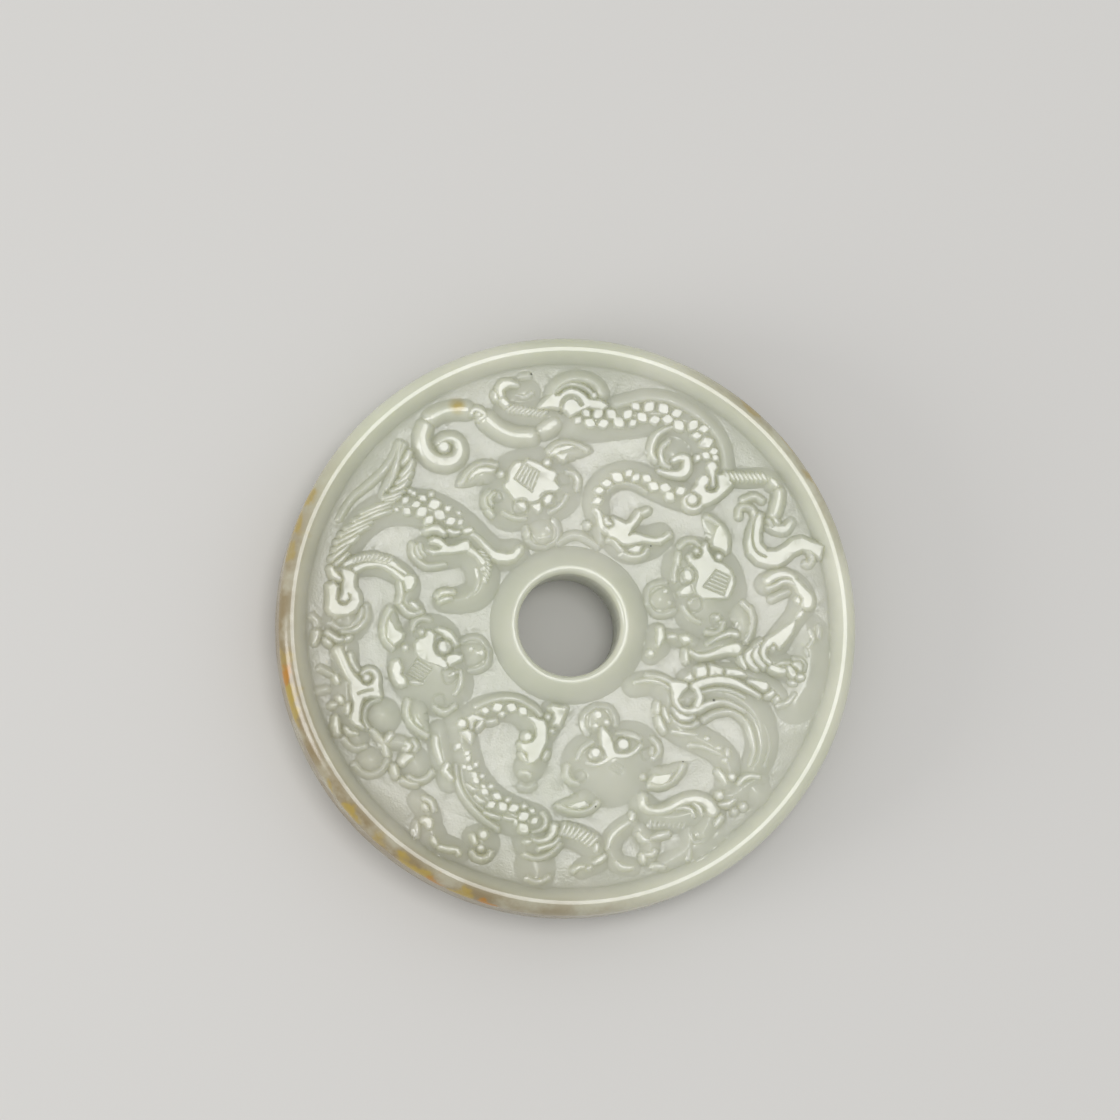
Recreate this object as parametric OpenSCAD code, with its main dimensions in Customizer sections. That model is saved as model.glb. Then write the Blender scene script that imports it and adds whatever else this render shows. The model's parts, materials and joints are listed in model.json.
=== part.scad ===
// Carved jade disc, worn as a pendant. It lies on its plain back with the carved face up.
// The origin is the middle of the back. The disc is one solid: a turned blank with a lip, a
// recessed field, a collar and a round hole, and a carving of beasts raised from the field.

/* [Disc] */
// Diameter of the disc
disc_d = 56; // [44:1:80]
// Thickness of the disc, from the back to the top of the lip
disc_t = 7; // [5:0.5:12]
// Radius of the rounded edge on the back
back_round = 1.2; // [0.6:0.1:1.6]

/* [Lip] */
// Radius of the rounded edge outside the lip
lip_round = 0.8; // [0.4:0.1:1]
// Width of the lip's flat top
lip_top_w = 0.3; // [0.2:0.05:0.6]
// Width of the long slope from the lip in to the field
lip_slope_w = 1.5; // [1:0.1:2]
// Width of the thin groove between that slope and the field
groove_w = 0.2; // [0.1:0.05:0.3]
// Depth of that groove below the field
groove_deep = 0.1; // [0.05:0.05:0.15]

/* [Collar and hole] */
// Diameter of the hole for the cord
hole_d = 9.9; // [8:0.1:12]
// Radius of the rounded mouth, from the hole up to the collar's top
mouth_round = 1.4; // [0.8:0.1:1.8]
// Width of the collar's outer slope down to the field
collar_slope_w = 1.4; // [1:0.1:1.8]
// Radius of the hole's rounded edge on the back
back_mouth_round = 0.6; // [0.3:0.1:1]

/* [Carving] */
// Height of the lip and of the highest carving above the field
relief_h = 0.8; // [0.5:0.05:1.2]
// Sides of a scale or knob
knob_sides = 6; // [6:2:8]

/* [Hidden] */

disc_r = disc_d / 2;
hole_r = hole_d / 2;
field_z = disc_t - relief_h;
groove_z = field_z - groove_deep;
lip_r = disc_r - lip_round;
slope_top_r = lip_r - lip_top_w;
slope_foot_r = slope_top_r - lip_slope_w;
field_r = slope_foot_r - groove_w;
collar_top_r = hole_r + mouth_round;
collar_foot_r = collar_top_r + collar_slope_w;
// The collar's slope runs on down to the groove's level, below the field
collar_end_r = collar_foot_r + collar_slope_w * groove_deep / relief_h;

// The carving is drawn by hand on a disc of radius 28, so one drawn length is a 28th of the radius.
// Its heights are shares of relief_h. Each shape goes root deep into the field's own floor, which is
// floor_deep below the field, and the whole is drawn out to size.
drawn_r = 28;
unit = disc_r / drawn_r;
root = 0.4;
floor_deep = 0.5;
// Collar foot and field edge on the drawing: between them a drawn radius follows the real ones
drawn_foot_r = 7.75;
drawn_field_r = 25.2;
// How far the carved field reaches in under the collar
field_tuck = 0.6;
// A stroke's end: how far its blunt tip reaches and the tip's half width, as shares of the foot
tip_reach = 0.85;
tip_width = 0.4;
// Longest reach of a corner, as a multiple of the half width
corner_reach = 1.3;
// Share of the shorter neighbour that the inner side of a bend may take, the turn in degrees at which
// that limit starts, and what stands for no limit
bend_share = 0.45;
bend_angle = 1;
far = 1000;
// Steps of a quarter round on the blank, and sides of the carved field
round_steps = 8;
field_sides = 60;

// Columns of STROKES: top height, width of the side slope, half widths of the flat top at the
// start, the middle and the end, and the points that it runs through
STROKES = [
    // Top dragon's tail
    [1, 0.8, [0.24, 0.36, 0.05], [[-13.85, 19.4], [-14.1, 18.6], [-14.1, 17.9], [-13.9, 17.2],
        [-13.5, 16.6], [-12.9, 16.15], [-12.2, 15.98], [-11.5, 16], [-10.9, 16.3], [-10.55, 16.8],
        [-10.5, 17.4], [-10.75, 17.95], [-11.2, 18.25], [-11.8, 18.25], [-12.2, 18.1], [-12.45, 17.85]]],
    [1, 0.9, [0.18, 0.2, 0.22], [[-13.2, 20.3], [-12.4, 20.75], [-11.6, 21], [-10.8, 21.12],
        [-9.9, 21.1]]],
    [1, 1, [0.2, 0.2, 0.22], [[-7.8, 20.15], [-7.1, 19.55], [-6.4, 19.1], [-5.6, 18.75], [-4.8, 18.6],
        [-3.6, 18.6]]],
    // Curl above the tail
    [0.95, 0.7, [0.12, 0.25, 0.05], [[-6.5, 22.6], [-6.55, 23], [-6.3, 23.45], [-5.8, 23.7],
        [-5.3, 23.65], [-4.9, 23.55]]],
    [0.75, 0.5, [0.03, 0.2, 0.03], [[-5.6, 22.6], [-5, 22.1], [-4.2, 21.9], [-3.5, 22.2], [-3.1, 22.9],
        [-3.2, 23.6]]],
    // Hair tuft over the haunch
    [0.9, 0.9, [0.03, 0.06, 0.03], [[-1.4, 22.7], [-1.1, 23.3], [-0.5, 23.8], [0.3, 24.15], [1.2, 24.25],
        [2.1, 24.1], [2.8, 23.7], [3.2, 23.2], [3.35, 22.8]]],
    // Ridge line over the scaled body
    [0.8, 1, [0.03, 0.05, 0.04], [[4.8, 21.7], [6.3, 22.1], [7.6, 22.4], [8.7, 22.4], [9.9, 22.2],
        [11.3, 21.6], [12.8, 20.7], [14.2, 19.3], [15, 18.1], [15.35, 16.8], [15.5, 15.7]]],
    // Mane curl under the body
    [0.9, 0.5, [0.15, 0.33, 0.04], [[10.4, 16.35], [11, 16.6], [11.55, 16.5], [11.7, 16], [11.55, 15.4],
        [11.1, 15], [10.4, 14.95], [9.6, 15.05], [9, 15.25]]],
    // Brow, eye and beard of the top dragon's head
    [0.95, 0.45, [0.1, 0.18, 0.2], [[2.7, 11.4], [2.95, 11.15], [3.12, 10.6], [3.2, 10], [3.45, 9.6],
        [3.9, 9.35]]],
    // Foreleg
    [0.9, 0.9, [0.17, 0.2, 0.17], [[15.2, 14.75], [17.2, 14.65], [19.4, 14.7], [20.2, 14.1]]],
    // Inner foreleg and haunch of the left beast
    [1, 0.7, [0.05, 0.08, 0.2], [[-9.2, 8.9], [-8.6, 8.4], [-8, 7.75], [-7.4, 7.1]]],
    [1, 0.6, [0.08, 0.22, 0.1], [[-13.7, 9.3], [-12.8, 9.5], [-12.1, 9.1]]],
    [0.95, 0.6, [0.2, 0.15, 0.2], [[-9.6, 7.4], [-9, 7], [-8.5, 6.45], [-8.3, 6.2]]],
    // Left beast's spiral
    [1, 0.45, [0.25, 0.42, 0.4], [[-22.85, 3.8], [-22.85, 2.6], [-22.5, 1.7], [-21.8, 1.4],
        [-21, 1.8], [-20.75, 2.6], [-21.1, 3.6], [-21.35, 4.4], [-21.3, 5.2]]],
    [1, 0.3, [0.15, 0.2, 0.1], [[-21.75, 3], [-21.6, 2.55], [-21.2, 2.75]]],
    // Left beast's leg band
    [0.95, 0.5, [0.12, 0.25, 0.08], [[-21.6, 5.85], [-20.8, 6.1], [-19.9, 6.35], [-18.9, 6.42],
        [-17.9, 6.3], [-17.1, 6], [-16.4, 5.5], [-15.8, 5.1]]],
    [1, 0.5, [0.2, 0.1, 0.16], [[-20.6, 5.5], [-19.8, 5.85], [-18.9, 5.95], [-18, 5.85], [-17.2, 5.45],
        [-16.6, 5], [-16.1, 4.6]]],
    // Lower left band
    [1, 0.7, [0.22, 0.2, 0.3], [[-22.3, -2.4], [-21.9, -3.3], [-21.5, -4.2], [-21.05, -5],
        [-20.5, -5.7]]],
    // Bottom dragon: neck ridge
    [0.85, 0.6, [0.03, 0.06, 0.04], [[-9, -7.8], [-8.1, -7.4], [-7, -7.05], [-5.9, -6.95], [-4.9, -7.1],
        [-4, -7.6], [-3.3, -8.05], [-2.85, -8.5]]],
    // Haunch fans of the bottom dragon
    [0.98, 0.4, [0.04, 0.16, 0.2], [[-3.5, -20.6], [-2.9, -20.72], [-2.2, -20.55], [-1.7, -20],
        [-1.55, -19.4]]],
    // Right: band over the thigh
    [1, 0.6, [0.2, 0.22, 0.1], [[19.5, 4.6], [20, 4.95], [20.7, 5.2], [21.4, 5.2], [22, 4.9]]],
    [1, 0.6, [0.1, 0.25, 0.3], [[22, 4.7], [22.4, 4.2], [22.9, 3.5], [23.3, 2.9], [23.2, 2.3]]],
    // Thigh spiral
    [1, 0.35, [0.2, 0.13, 0.08], [[19.6, -1.5], [19.1, -1.9], [18.95, -2.5], [19.15, -3], [19.6, -3.4]]],
    [1, 0.35, [0.04, 0.22, 0.08], [[18.5, -1.8], [18.2, -2.5], [18.45, -3.2], [19, -3.75]]],
    [1, 0.35, [0.04, 0.2, 0.05], [[17.9, -2.1], [17.45, -2.7], [17.7, -3.4], [18.3, -4]]],
    // Right: band and long scales of the neck
    [0.98, 0.5, [0.1, 0.2, 0.35], [[11.9, -2.4], [12.6, -2.75], [13.4, -2.75], [14.4, -2.45],
        [15.3, -2.15], [16.3, -2.05]]],
    // Wing arcs
    [1, 0.45, [0.28, 0.25, 0.04], [[12.3, -5.7], [13, -5.4], [14, -5.15], [15, -5.1], [16, -5.3],
        [17, -5.75], [17.9, -6.25], [18.5, -6.6]]],
    [0.95, 0.45, [0.2, 0.06, 0.03], [[12.6, -7.9], [13.2, -7.6], [14.1, -7.3], [15.1, -7.2], [16.2, -7.6],
        [17.1, -8.1]]],
    [1, 0.3, [0.16, 0.18, 0.2], [[12.45, -5.9], [12.75, -6.8], [12.5, -7.6]]],
    // Neck line and shoulder of the right beast
    [0.95, 0.35, [0.15, 0.12, 0.2], [[10.35, -6.6], [10.45, -7.3], [10.9, -7.95], [11.6, -8.15],
        [12.3, -8], [12.7, -7.8]]],
    [0.9, 0.3, [0.04, 0.22, 0.04], [[10.1, -7.9], [10.7, -8.6], [11.5, -8.85], [12, -8.7]]],
    // Lower right beast
    [1, 0.7, [0.06, 0.16, 0.2], [[7.12, -16.5], [7.15, -17.1], [7.5, -17.6], [8.2, -17.82], [9, -17.78],
        [9.8, -17.5], [10.5, -17.1], [11.2, -16.8]]],
    [1, 0.7, [0.2, 0.25, 0.35], [[11.2, -16.8], [12.1, -16.65], [12.9, -16.8], [13.5, -17.2],
        [13.85, -17.8]]],
];

// Columns of BODIES, the broad forms with a crest: crest height, width of the side slope, what is
// added to it at the start, the middle and the end, and the points that the crest runs through
BODIES = [
    // Top dragon: scaled body, fold under the head, snout and haunch
    [0.72, 1.3, [0.9, 1.1, 0.8], [[0.8, 19.9], [3, 20.2], [6, 20.6], [8, 20.9], [10, 20.7], [12, 20],
        [13.3, 18.9], [13.9, 17.5], [14.1, 16.2], [13.6, 14.4]]],
    [0.72, 0.8, [0.6, 0.75, 0.9], [[2.9, 11.3], [2.75, 12.4], [3.2, 13.6], [4.3, 14.5], [5.8, 14.9],
        [7.4, 14.5], [8.8, 13.8], [10.3, 13.2], [11.8, 12.8], [13.2, 12.8]]],
    [0.6, 0.6, [1, 1.5, 1], [[3.4, 9.7], [4.6, 9], [5.8, 8.2], [7.5, 8.2], [9, 8.8]]],
    [0.55, 0.8, [0.7, 1, 0.6], [[-5.8, 21.4], [-3.8, 20.9], [-2, 20.6], [-0.4, 20.2]]],
    // Left beast: scaled body, two folds behind the feathers, inner foreleg, haunch and leg
    [0.75, 1.1, [0.4, 1, 0.5], [[-21.5, 7.6], [-20, 9.8], [-18, 11.2], [-15.8, 11.6], [-13.6, 11.3],
        [-11.6, 10.5], [-9.9, 9.3], [-8.4, 7.9], [-6.9, 7], [-5.2, 7.1]]],
    [0.6, 0.4, [0.1, 0.3, 0.1], [[-22.4, 10.2], [-21.2, 12], [-19.6, 13.6], [-18.2, 15], [-16.7, 17.2]]],
    [0.6, 0.4, [0.1, 0.3, 0.1], [[-18.2, 12.4], [-17.7, 13.8], [-16.9, 15.4], [-16, 17.4]]],
    [0.7, 1, [0.7, 0.9, 0.3], [[-13.8, 7.3], [-12, 7.2], [-10, 7.4], [-8.6, 6.2], [-8.3, 4.6],
        [-8.9, 3.2], [-10.6, 2.6], [-12, 2.6]]],
    [0.6, 0.7, [0.5, 0.9, 0.9], [[-22.4, 3.2], [-21.6, 1.6], [-21.3, 0.4]]],
    [0.7, 0.8, [0.3, 0.5, 0.3], [[-22.2, 5.4], [-20, 5.9], [-18, 5.9], [-16.2, 5], [-15.4, 3.8],
        [-15.8, 2.4], [-15, 1.7]]],
    // Lower left: ball and curl
    [0.75, 1, [0.8, 0.9, 0.8], [[-18.2, -8.5], [-17.9, -8.7]]],
    [0.55, 0.9, [0.5, 0.7, 0.6], [[-21.6, -2], [-21.6, -5], [-21.4, -8], [-20.6, -10.6]]],
    [0.6, 0.9, [0.8, 1.2, 1], [[-19.8, -10.8], [-17.5, -11.6], [-15.2, -13.2]]],
    [0.5, 0.8, [0.4, 0.7, 0.4], [[-14.6, -16.8], [-13.7, -18], [-13.5, -19.6], [-12.6, -21],
        [-10.6, -21.7]]],
    // Bottom dragon
    [0.72, 0.9, [0.5, 0.7, 0.7], [[-10.8, -9.8], [-9.4, -8.6], [-7.6, -7.9], [-5.6, -7.8], [-4, -8.6],
        [-3.1, -10.2], [-3.3, -12.4], [-4, -14.4]]],
    [0.72, 1.1, [0.6, 0.9, 1], [[-10.6, -9.2], [-10.4, -11.2], [-10.1, -13], [-9.5, -14.7], [-8.3, -16.4],
        [-6.8, -17.6], [-5.2, -18.4], [-3.6, -19]]],
    [0.6, 1, [1, 1.3, 1], [[-3.6, -20.2], [-3.1, -21.2]]],
    [0.6, 0.8, [0.5, 0.7, 0.3], [[-1.5, -20], [0.4, -20.2], [2, -21], [2.9, -22.3], [1.2, -23.4]]],
    // Right beast and bird
    [0.7, 0.9, [0.3, 0.5, 0.5], [[19.3, 4.3], [20.6, 4.8], [22, 4.4], [22.9, 3.1], [22.4, 1.2],
        [21, -0.6], [19.9, -2]]],
    [0.65, 0.8, [0.4, 0.7, 0.6], [[17.4, -2.8], [18.8, -3], [20.2, -3.4], [22.4, -4.4]]],
    [0.6, 0.9, [0.3, 0.6, 0.4], [[12, -2.4], [13.8, -2], [15.4, -1.6], [16.8, -2.4]]],
    [0.65, 0.7, [0.3, 0.4, 0.3], [[11.3, -4.85], [13.4, -4.3], [15.6, -4.3], [17.6, -4.6], [19.6, -5.6],
        [20.8, -6.6]]],
    [0.7, 1, [0.5, 0.7, 0.6], [[10.6, -7.2], [12.2, -6.6], [14.4, -6.2], [16.4, -6.6], [18.2, -8],
        [19, -10], [18.9, -12], [18, -13.8]]],
    [0.6, 0.9, [0.4, 0.7, 0.5], [[6.4, -5.6], [8.4, -5.4], [9.6, -6.6], [9.6, -8.6], [10.8, -9.9],
        [12.6, -10.8], [14.6, -12], [15.6, -13.6], [15.4, -15.2]]],
    [0.6, 0.7, [0.5, 0.8, 0.4], [[8.6, -0.6], [8.7, -1.4], [8, -2.6]]],
    // Lower right beast
    [0.7, 1, [0.4, 0.9, 0.7], [[7, -17], [8.2, -18.2], [10.2, -18.4], [12.2, -18], [13.6, -18.3],
        [12.9, -20]]],
    [0.6, 0.7, [0.3, 0.5, 0.3], [[5.9, -18.9], [4.6, -19.9], [3.9, -21.4], [4.6, -22.8], [6, -23.2]]],
    [0.6, 0.7, [0.3, 0.4, 0.3], [[6.8, -19.6], [7.8, -20.9], [7.6, -22.2]]],
    [0.6, 0.8, [0.5, 0.8, 0.4], [[14.8, -16.4], [16, -16.2], [17.4, -15.2], [18.4, -14.6]]],
];

// Columns of PLATES, the flat-topped shapes: top height, width of the side slope, outline of the top
PLATES = [
    // Haunch of the top dragon
    [1, 0.5, [[-2.7, 21.4], [-2, 22.1], [-1.35, 22.75], [-1.2, 22.45], [-0.7, 22.5], [-0.2, 22.95],
        [0.4, 23.15], [1, 23], [1.5, 22.7], [2, 22.2], [2.5, 22.05], [3.2, 22.05], [3.8, 21.6],
        [3.4, 21.2], [2.8, 21.35], [2.1, 21.5], [1.5, 21.25], [0.9, 20.95], [0.3, 20.65], [-0.05, 21.1],
        [-0.6, 21.35], [-1.3, 21.45]]],
    // Shoulder
    [1, 0.45, [[12.3, 13.4], [12.75, 13.9], [12.8, 14.3], [13.1, 14.75], [13.5, 14.8], [13.75, 14.45],
        [13.65, 14.1], [13.4, 13.9], [13.3, 13.6], [13.5, 13.2], [14, 13.05], [14.6, 13.2], [14.85, 13.7],
        [14.8, 14.3], [14.7, 14.8], [15.3, 14.9], [15.8, 14.3], [16, 14.05], [15.3, 13.3], [14.6, 12.7],
        [13.8, 12.2], [13.1, 12], [13.1, 12.8]]],
    // Face and lower jaw
    [1, 0.45, [[3.35, 9.65], [3.9, 9.2], [4.1, 8.85], [4.6, 8.75], [5, 8.4], [5.4, 8.15], [5.9, 8.1],
        [6.5, 8.2], [7.2, 8.4], [8.2, 8.3], [9, 8.3], [9.4, 8.6], [9.9, 9], [9.85, 9.1], [9.3, 8.75],
        [8.5, 8.55], [7.6, 8.7], [6.9, 8.95], [6.4, 9.05], [5.9, 8.8], [5.8, 9], [6.2, 9.7], [6.6, 10.3],
        [7, 10.9], [7.05, 11.2], [6.9, 11.2], [6.5, 10.6], [6.1, 10.1], [5.6, 10], [5, 10.25],
        [4.5, 10.5], [4.6, 10.1], [4.45, 9.7], [4, 9.5]]],
    // Lip
    [0.9, 0.3, [[6, 7.55], [6.4, 7.35], [6.9, 7.35], [7.1, 7.85], [6.6, 7.9]]],
    // Left beast: foreleg wedge and haunch
    [1, 0.6, [[-8.4, 8.2], [-7.9, 7.7], [-7, 7.15], [-6, 6.95], [-5.4, 7.05], [-4.9, 7.6], [-4.65, 7.65],
        [-4.7, 7.2], [-5.2, 6.6], [-5.9, 6.4], [-6.8, 6.4], [-7.4, 6.7], [-7.8, 7.4]]],
    [1, 0.5, [[-13.3, 8.2], [-13, 8.45], [-12.5, 8.38], [-12.1, 8], [-11.7, 7.7], [-11, 7.75],
        [-10.3, 8.1], [-9.75, 8.25], [-9.6, 7.45], [-10.5, 7.3], [-11.5, 7.15], [-12.3, 7.15],
        [-13.1, 7.05], [-13.7, 7.35], [-13, 7.25], [-12.4, 7.35], [-12.2, 7.7], [-12.7, 8]]],
    // Left beast: blob at the end of the leg band
    [1, 0.45, [[-16, 4.7], [-15.4, 4.88], [-15.05, 4.7], [-15, 4.2], [-15.3, 3.6], [-15.7, 3.55],
        [-15.85, 4.1]]],
    // Lower left plate with its loop
    [1, 0.5, [[-21.05, -5.2], [-20.6, -5.1], [-20.3, -5.4], [-20, -5.75], [-19.5, -5.88], [-19, -5.65],
        [-18.7, -5.2], [-18.5, -5.9], [-18.4, -6.7], [-18.6, -6.8], [-19.2, -6.75], [-20, -6.95],
        [-20.2, -7.4], [-20.35, -8.2], [-20.4, -9.2], [-20, -9.8], [-20.7, -9.5], [-21.1, -9],
        [-20.85, -8.2], [-20.75, -7.4], [-21, -6.6], [-21.05, -5.9]]],
    // Bottom dragon: head and horn
    [1, 0.5, [[-3.95, -8.8], [-3.5, -8.8], [-3, -9.1], [-2.5, -9.2], [-2.3, -9.8], [-2.35, -11.2],
        [-2.7, -11.9], [-3.05, -12.7], [-3.5, -13.1], [-4, -13.2], [-4, -12.3], [-4.5, -11.9],
        [-4.75, -11.4], [-4.2, -11.4], [-3.5, -11.2], [-3.15, -10.6], [-3.15, -9.9], [-3.4, -9.3]]],
    [0.9, 0.4, [[-1.85, -7.9], [-1.5, -7.75], [-0.9, -7.9], [-0.4, -7.9], [-0.65, -8.6], [-1, -9.5],
        [-1.5, -9.4], [-1.3, -8.9], [-1.4, -8.3]]],
    // Bottom dragon: shoulder
    [0.98, 0.4, [[-9.85, -8.9], [-9.4, -8.6], [-8.9, -8.7], [-8.3, -9], [-8.6, -9.15], [-9.1, -9],
        [-9.4, -9.4], [-9.5, -9.8], [-9.65, -9.2]]],
    [0.98, 0.4, [[-10.5, -10.3], [-9.9, -10.1], [-9.5, -10.4], [-9.6, -11.2], [-9.85, -10.9]]],
    // Right: thigh wedge
    [1, 0.5, [[22.05, 0.65], [21.6, 0.3], [21, -0.1], [20.2, -0.7], [19.4, -1.2], [18.95, -1.8],
        [19.25, -2], [19.7, -1.5], [20.1, -1.45], [20.55, -1.9], [21.2, -1.2], [21.7, -0.5], [22, 0.2]]],
    // Right: long scales of the neck
    [1, 0.35, [[12.45, -4.8], [12.5, -4], [13.2, -3.8], [13.4, -4.3], [13.3, -4.7]]],
    [1, 0.35, [[13.8, -3.75], [14.3, -3.85], [14.9, -4.05], [14.85, -4.5], [13.8, -4.6]]],
    [1, 0.35, [[15.4, -4.1], [16.2, -4.15], [16.8, -4.3], [17.2, -4.6], [16.4, -4.6], [15.4, -4.55]]],
    [1, 0.3, [[11.4, -4.9], [11.8, -4.55], [12.05, -5], [11.7, -5.1]]],
    // Right: shoulder triangle
    [0.95, 0.45, [[9.85, -5.35], [10.6, -5.4], [11.4, -5.5], [11.45, -5.75], [10.9, -6.3], [10.6, -6.9],
        [10.3, -6.9], [10.15, -6.2]]],
    // Ribbon between the leg and the rim
    [0.75, 0.3, [[18.3, 11.3], [18.3, 10.6], [17.85, 9.6], [17.62, 8.4], [17.8, 7.3], [18.55, 6.5],
        [19.6, 6.2], [20.5, 6.2], [21.2, 6.6], [22, 7.35], [22.9, 7.75], [23.7, 7.6], [24.6, 7],
        [24.9, 8], [23.7, 8.4], [22.9, 8.75], [22.1, 8.55], [21.3, 7.9], [20.4, 7.4], [19.4, 7.45],
        [18.7, 8.2], [18.65, 9.3], [18.85, 10.2], [18.9, 11]]],
];

// Columns of KNOBS: place, radius of the top, top height, width of the side slope
KNOBS = [
    [[-12.05, 17.45], 0.42, 1, 0.4],
    [[2.6, 22.6], 0.2, 0.9, 0.3],
    [[14.1, 15.7], 0.42, 1, 0.35],
    [[12.15, 12.5], 0.42, 1, 0.3],
    [[-19.6, -5], 0.24, 0.95, 0.3],
    [[-4.05, -10.68], 0.27, 1, 0.25],
    [[11.5, -7.05], 0.45, 0.8, 0.45],
    [[-10.4, -9.42], 0.34, 1, 0.35],
    [[14.6, -16.3], 0.24, 0.95, 0.3],
    [[15.8, -14.5], 0.22, 0.95, 0.3],
    [[-13.6, -18.95], 0.28, 0.95, 0.35],
    [[-13.05, -20.75], 0.2, 0.9, 0.35],
    [[-8.4, -20.15], 0.32, 0.9, 0.35],
    [[-8.6, -21.35], 0.2, 0.85, 0.3],
    [[8, -2.5], 0.2, 0.8, 0.4],
    [[22.35, -3.6], 0.26, 0.95, 0.3],
    [[22.6, -4.7], 0.24, 0.95, 0.3],
    [[21.75, -4.15], 0.3, 0.95, 0.3],
    [[21.9, -5.25], 0.22, 0.9, 0.3],
];

// Columns of SCALES, the round scales of the dragons' bodies: place along X and Y, radius of the top
SCALES = [
    [2.2, 19.9, 0.36], [3.5, 19.85, 0.36], [5, 20, 0.42], [3, 20.8, 0.38], [4.3, 20.75, 0.38],
    [5.9, 20.75, 0.36], [7.3, 20.5, 0.38], [8, 21.5, 0.42], [9.4, 21.35, 0.42], [8.55, 20.25, 0.34],
    [9.8, 20.3, 0.38], [10.7, 20.9, 0.36], [10.9, 19.75, 0.42], [12.3, 19.75, 0.4], [13.6, 18.05, 0.45],
    [4.85, 14.6, 0.42], [8.4, 13.75, 0.36], [9.5, 13.6, 0.38], [11, 13.3, 0.34], [9.95, 12.8, 0.34],
    [-13, 11.8, 0.42], [-14.2, 11.1, 0.4], [-12.5, 10.8, 0.42], [-11.4, 10.2, 0.33], [-6.95, -7.85, 0.34],
    [-5.6, -7.85, 0.34], [-6.5, -17.45, 0.34], [-5.45, -17.6, 0.33], [-4.5, -18.4, 0.38],
    [-4.5, -19.5, 0.38],
];
// Side slope of a scale
scale_slope = 0.4;

// The four beast masks face outward at these angles, as the hand-cut disc has them
MASK_ANGLES = [105, 17, 196, 288];
// A mask is drawn with X outward and Y across, one side only, and mirrored.
// Columns of MASK_DOMES: height, power of the rounding, centre, and half of the outline
MASK_DOMES = [
    // Head
    [0.95, 1.5, [13.6, 0], [[18.1, 0], [17.6, 2.4], [15.9, 3.9], [14.6, 5.1], [12.5, 5.1], [10.5, 3.4],
        [10.1, 0]]],
    // Muzzle
    [0.75, 2, [9.3, 0], [[11.2, 0], [10.3, 1.7], [8.5, 1.5], [7.75, 0]]],
];
// Columns of MASK_EARS: height, power of the rounding, centre, and the whole outline
MASK_EARS = [
    [0.8, 2, [16.4, 4.3], [[15.5, 4.3], [15.6, 2.6], [16.8, 2.2], [17.9, 4.2], [17.3, 6], [15.9, 7.1]]],
];
// Plates of a mask, in the columns of PLATES
MASK_PLATES = [
    // Forehead and brow
    [1, 0.3, [[16.75, 0.55], [16.1, 1.35], [15, 2.1], [14.55, 2.75], [13.8, 2.5], [13.2, 2.8],
        [13.35, 1.6], [12.7, 0.1], [13.6, 0.1], [15.3, 1.35]]],
    // Ear
    [0.95, 0.25, [[16.6, 2.9], [17.15, 4.1], [16.6, 5.4], [15.85, 3.8]]],
];
// Plates on the middle line of a mask: the lozenge of the forehead and the nose
MASK_MIDDLE = [
    [0.98, 0.2, [[16.45, 0], [15.3, 1.15], [13.75, 0], [15.3, -1.15]]],
    [1, 0.25, [[12.45, 0.45], [11.3, 0], [12.45, -0.45]]],
];
// Strokes of a mask, in the columns of STROKES: the eyelid
MASK_STROKES = [
    [0.85, 0.35, [0.03, 0.16, 0.03], [[12.3, 3.1], [11.7, 2.6], [11.15, 1.3]]],
];
// Knobs of a mask, in the columns of KNOBS: the eye, the temple and the nostril
MASK_KNOBS = [
    [[12.35, 1.45], 0.45, 1, 0.25],
    [[14, 3.5], 0.2, 0.95, 0.3],
    [[9.8, 0.6], 0.2, 0.85, 0.25],
];
// Rings of a dome as shares of its outline, from the outline in to its flat top
DOME_RINGS = [1, 0.6, 0.2];

function mix(a, b, share) = a + (b - a) * share;
function unit_vector(v) = v / norm(v);
function rise(height) = (height + root) / height;

// A drawn radius on the real disc, in drawn units
function real_r(r) =
    let (share = (r - drawn_foot_r) / (drawn_field_r - drawn_foot_r))
    mix(collar_foot_r, field_r, share) / unit;
// A drawn point on the real disc, in millimetres
function on_disc(p) = p * unit * real_r(norm(p)) / norm(p);

// Quarter round about a centre, from one angle to the other
function round_corner(centre, r, from, to) =
    [for (i = [0 : round_steps]) let (a = mix(from, to, i / round_steps)) centre + r * [cos(a), sin(a)]];

// Value at each of n points of a path, from its values at the start, the middle and the end
function along(n, ends) =
    [for (i = [0 : n - 1])
        let (t = 2 * i / (n - 1))
        t < 1 ? mix(ends[0], ends[1], t) : mix(ends[1], ends[2], t - 1)];

// Direction of a path just after point i, and just before it
function step(path, i, closed) =
    let (n = len(path), from = closed || i < n - 1 ? i : n - 2)
    unit_vector(path[(from + 1) % n] - path[from % n]);
function step_before(path, i, closed) =
    closed || i > 0 ? step(path, (i + len(path) - 1) % len(path), closed) : step(path, 0, closed);

// Across a path at point i, longer at a corner
function across(path, i, closed) =
    let (
        after = step(path, i, closed),
        ahead = unit_vector(step_before(path, i, closed) + after),
        reach = 1 / max(1 / corner_reach, ahead * after)
    ) [-ahead.y, ahead.x] * reach;

// Room for a slope on the inner side of a bend, on the side where side is 1 for left, -1 for right
function room(path, i, closed, side) =
    let (
        n = len(path),
        before = step_before(path, i, closed),
        after = step(path, i, closed),
        turn = side * atan2(cross(before, after), before * after),
        next = norm(path[(i + 1) % n] - path[i]),
        last = norm(path[i] - path[(i + n - 1) % n])
    )
    turn > bend_angle && (closed || (i > 0 && i < n - 1))
        ? bend_share * min(next, last) / tan(turn / 2) : far;

// Cross-section at point i of a path: shifts are pairs of a side shift and a height
function section(path, i, closed, shifts) =
    let (
        side = across(path, i, closed),
        left = room(path, i, closed, 1),
        right = room(path, i, closed, -1)
    )
    [for (s = shifts) let (x = max(-right, min(left, s.x)))
        [path[i].x + side.x * x, path[i].y + side.y * x, s.y]];

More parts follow.
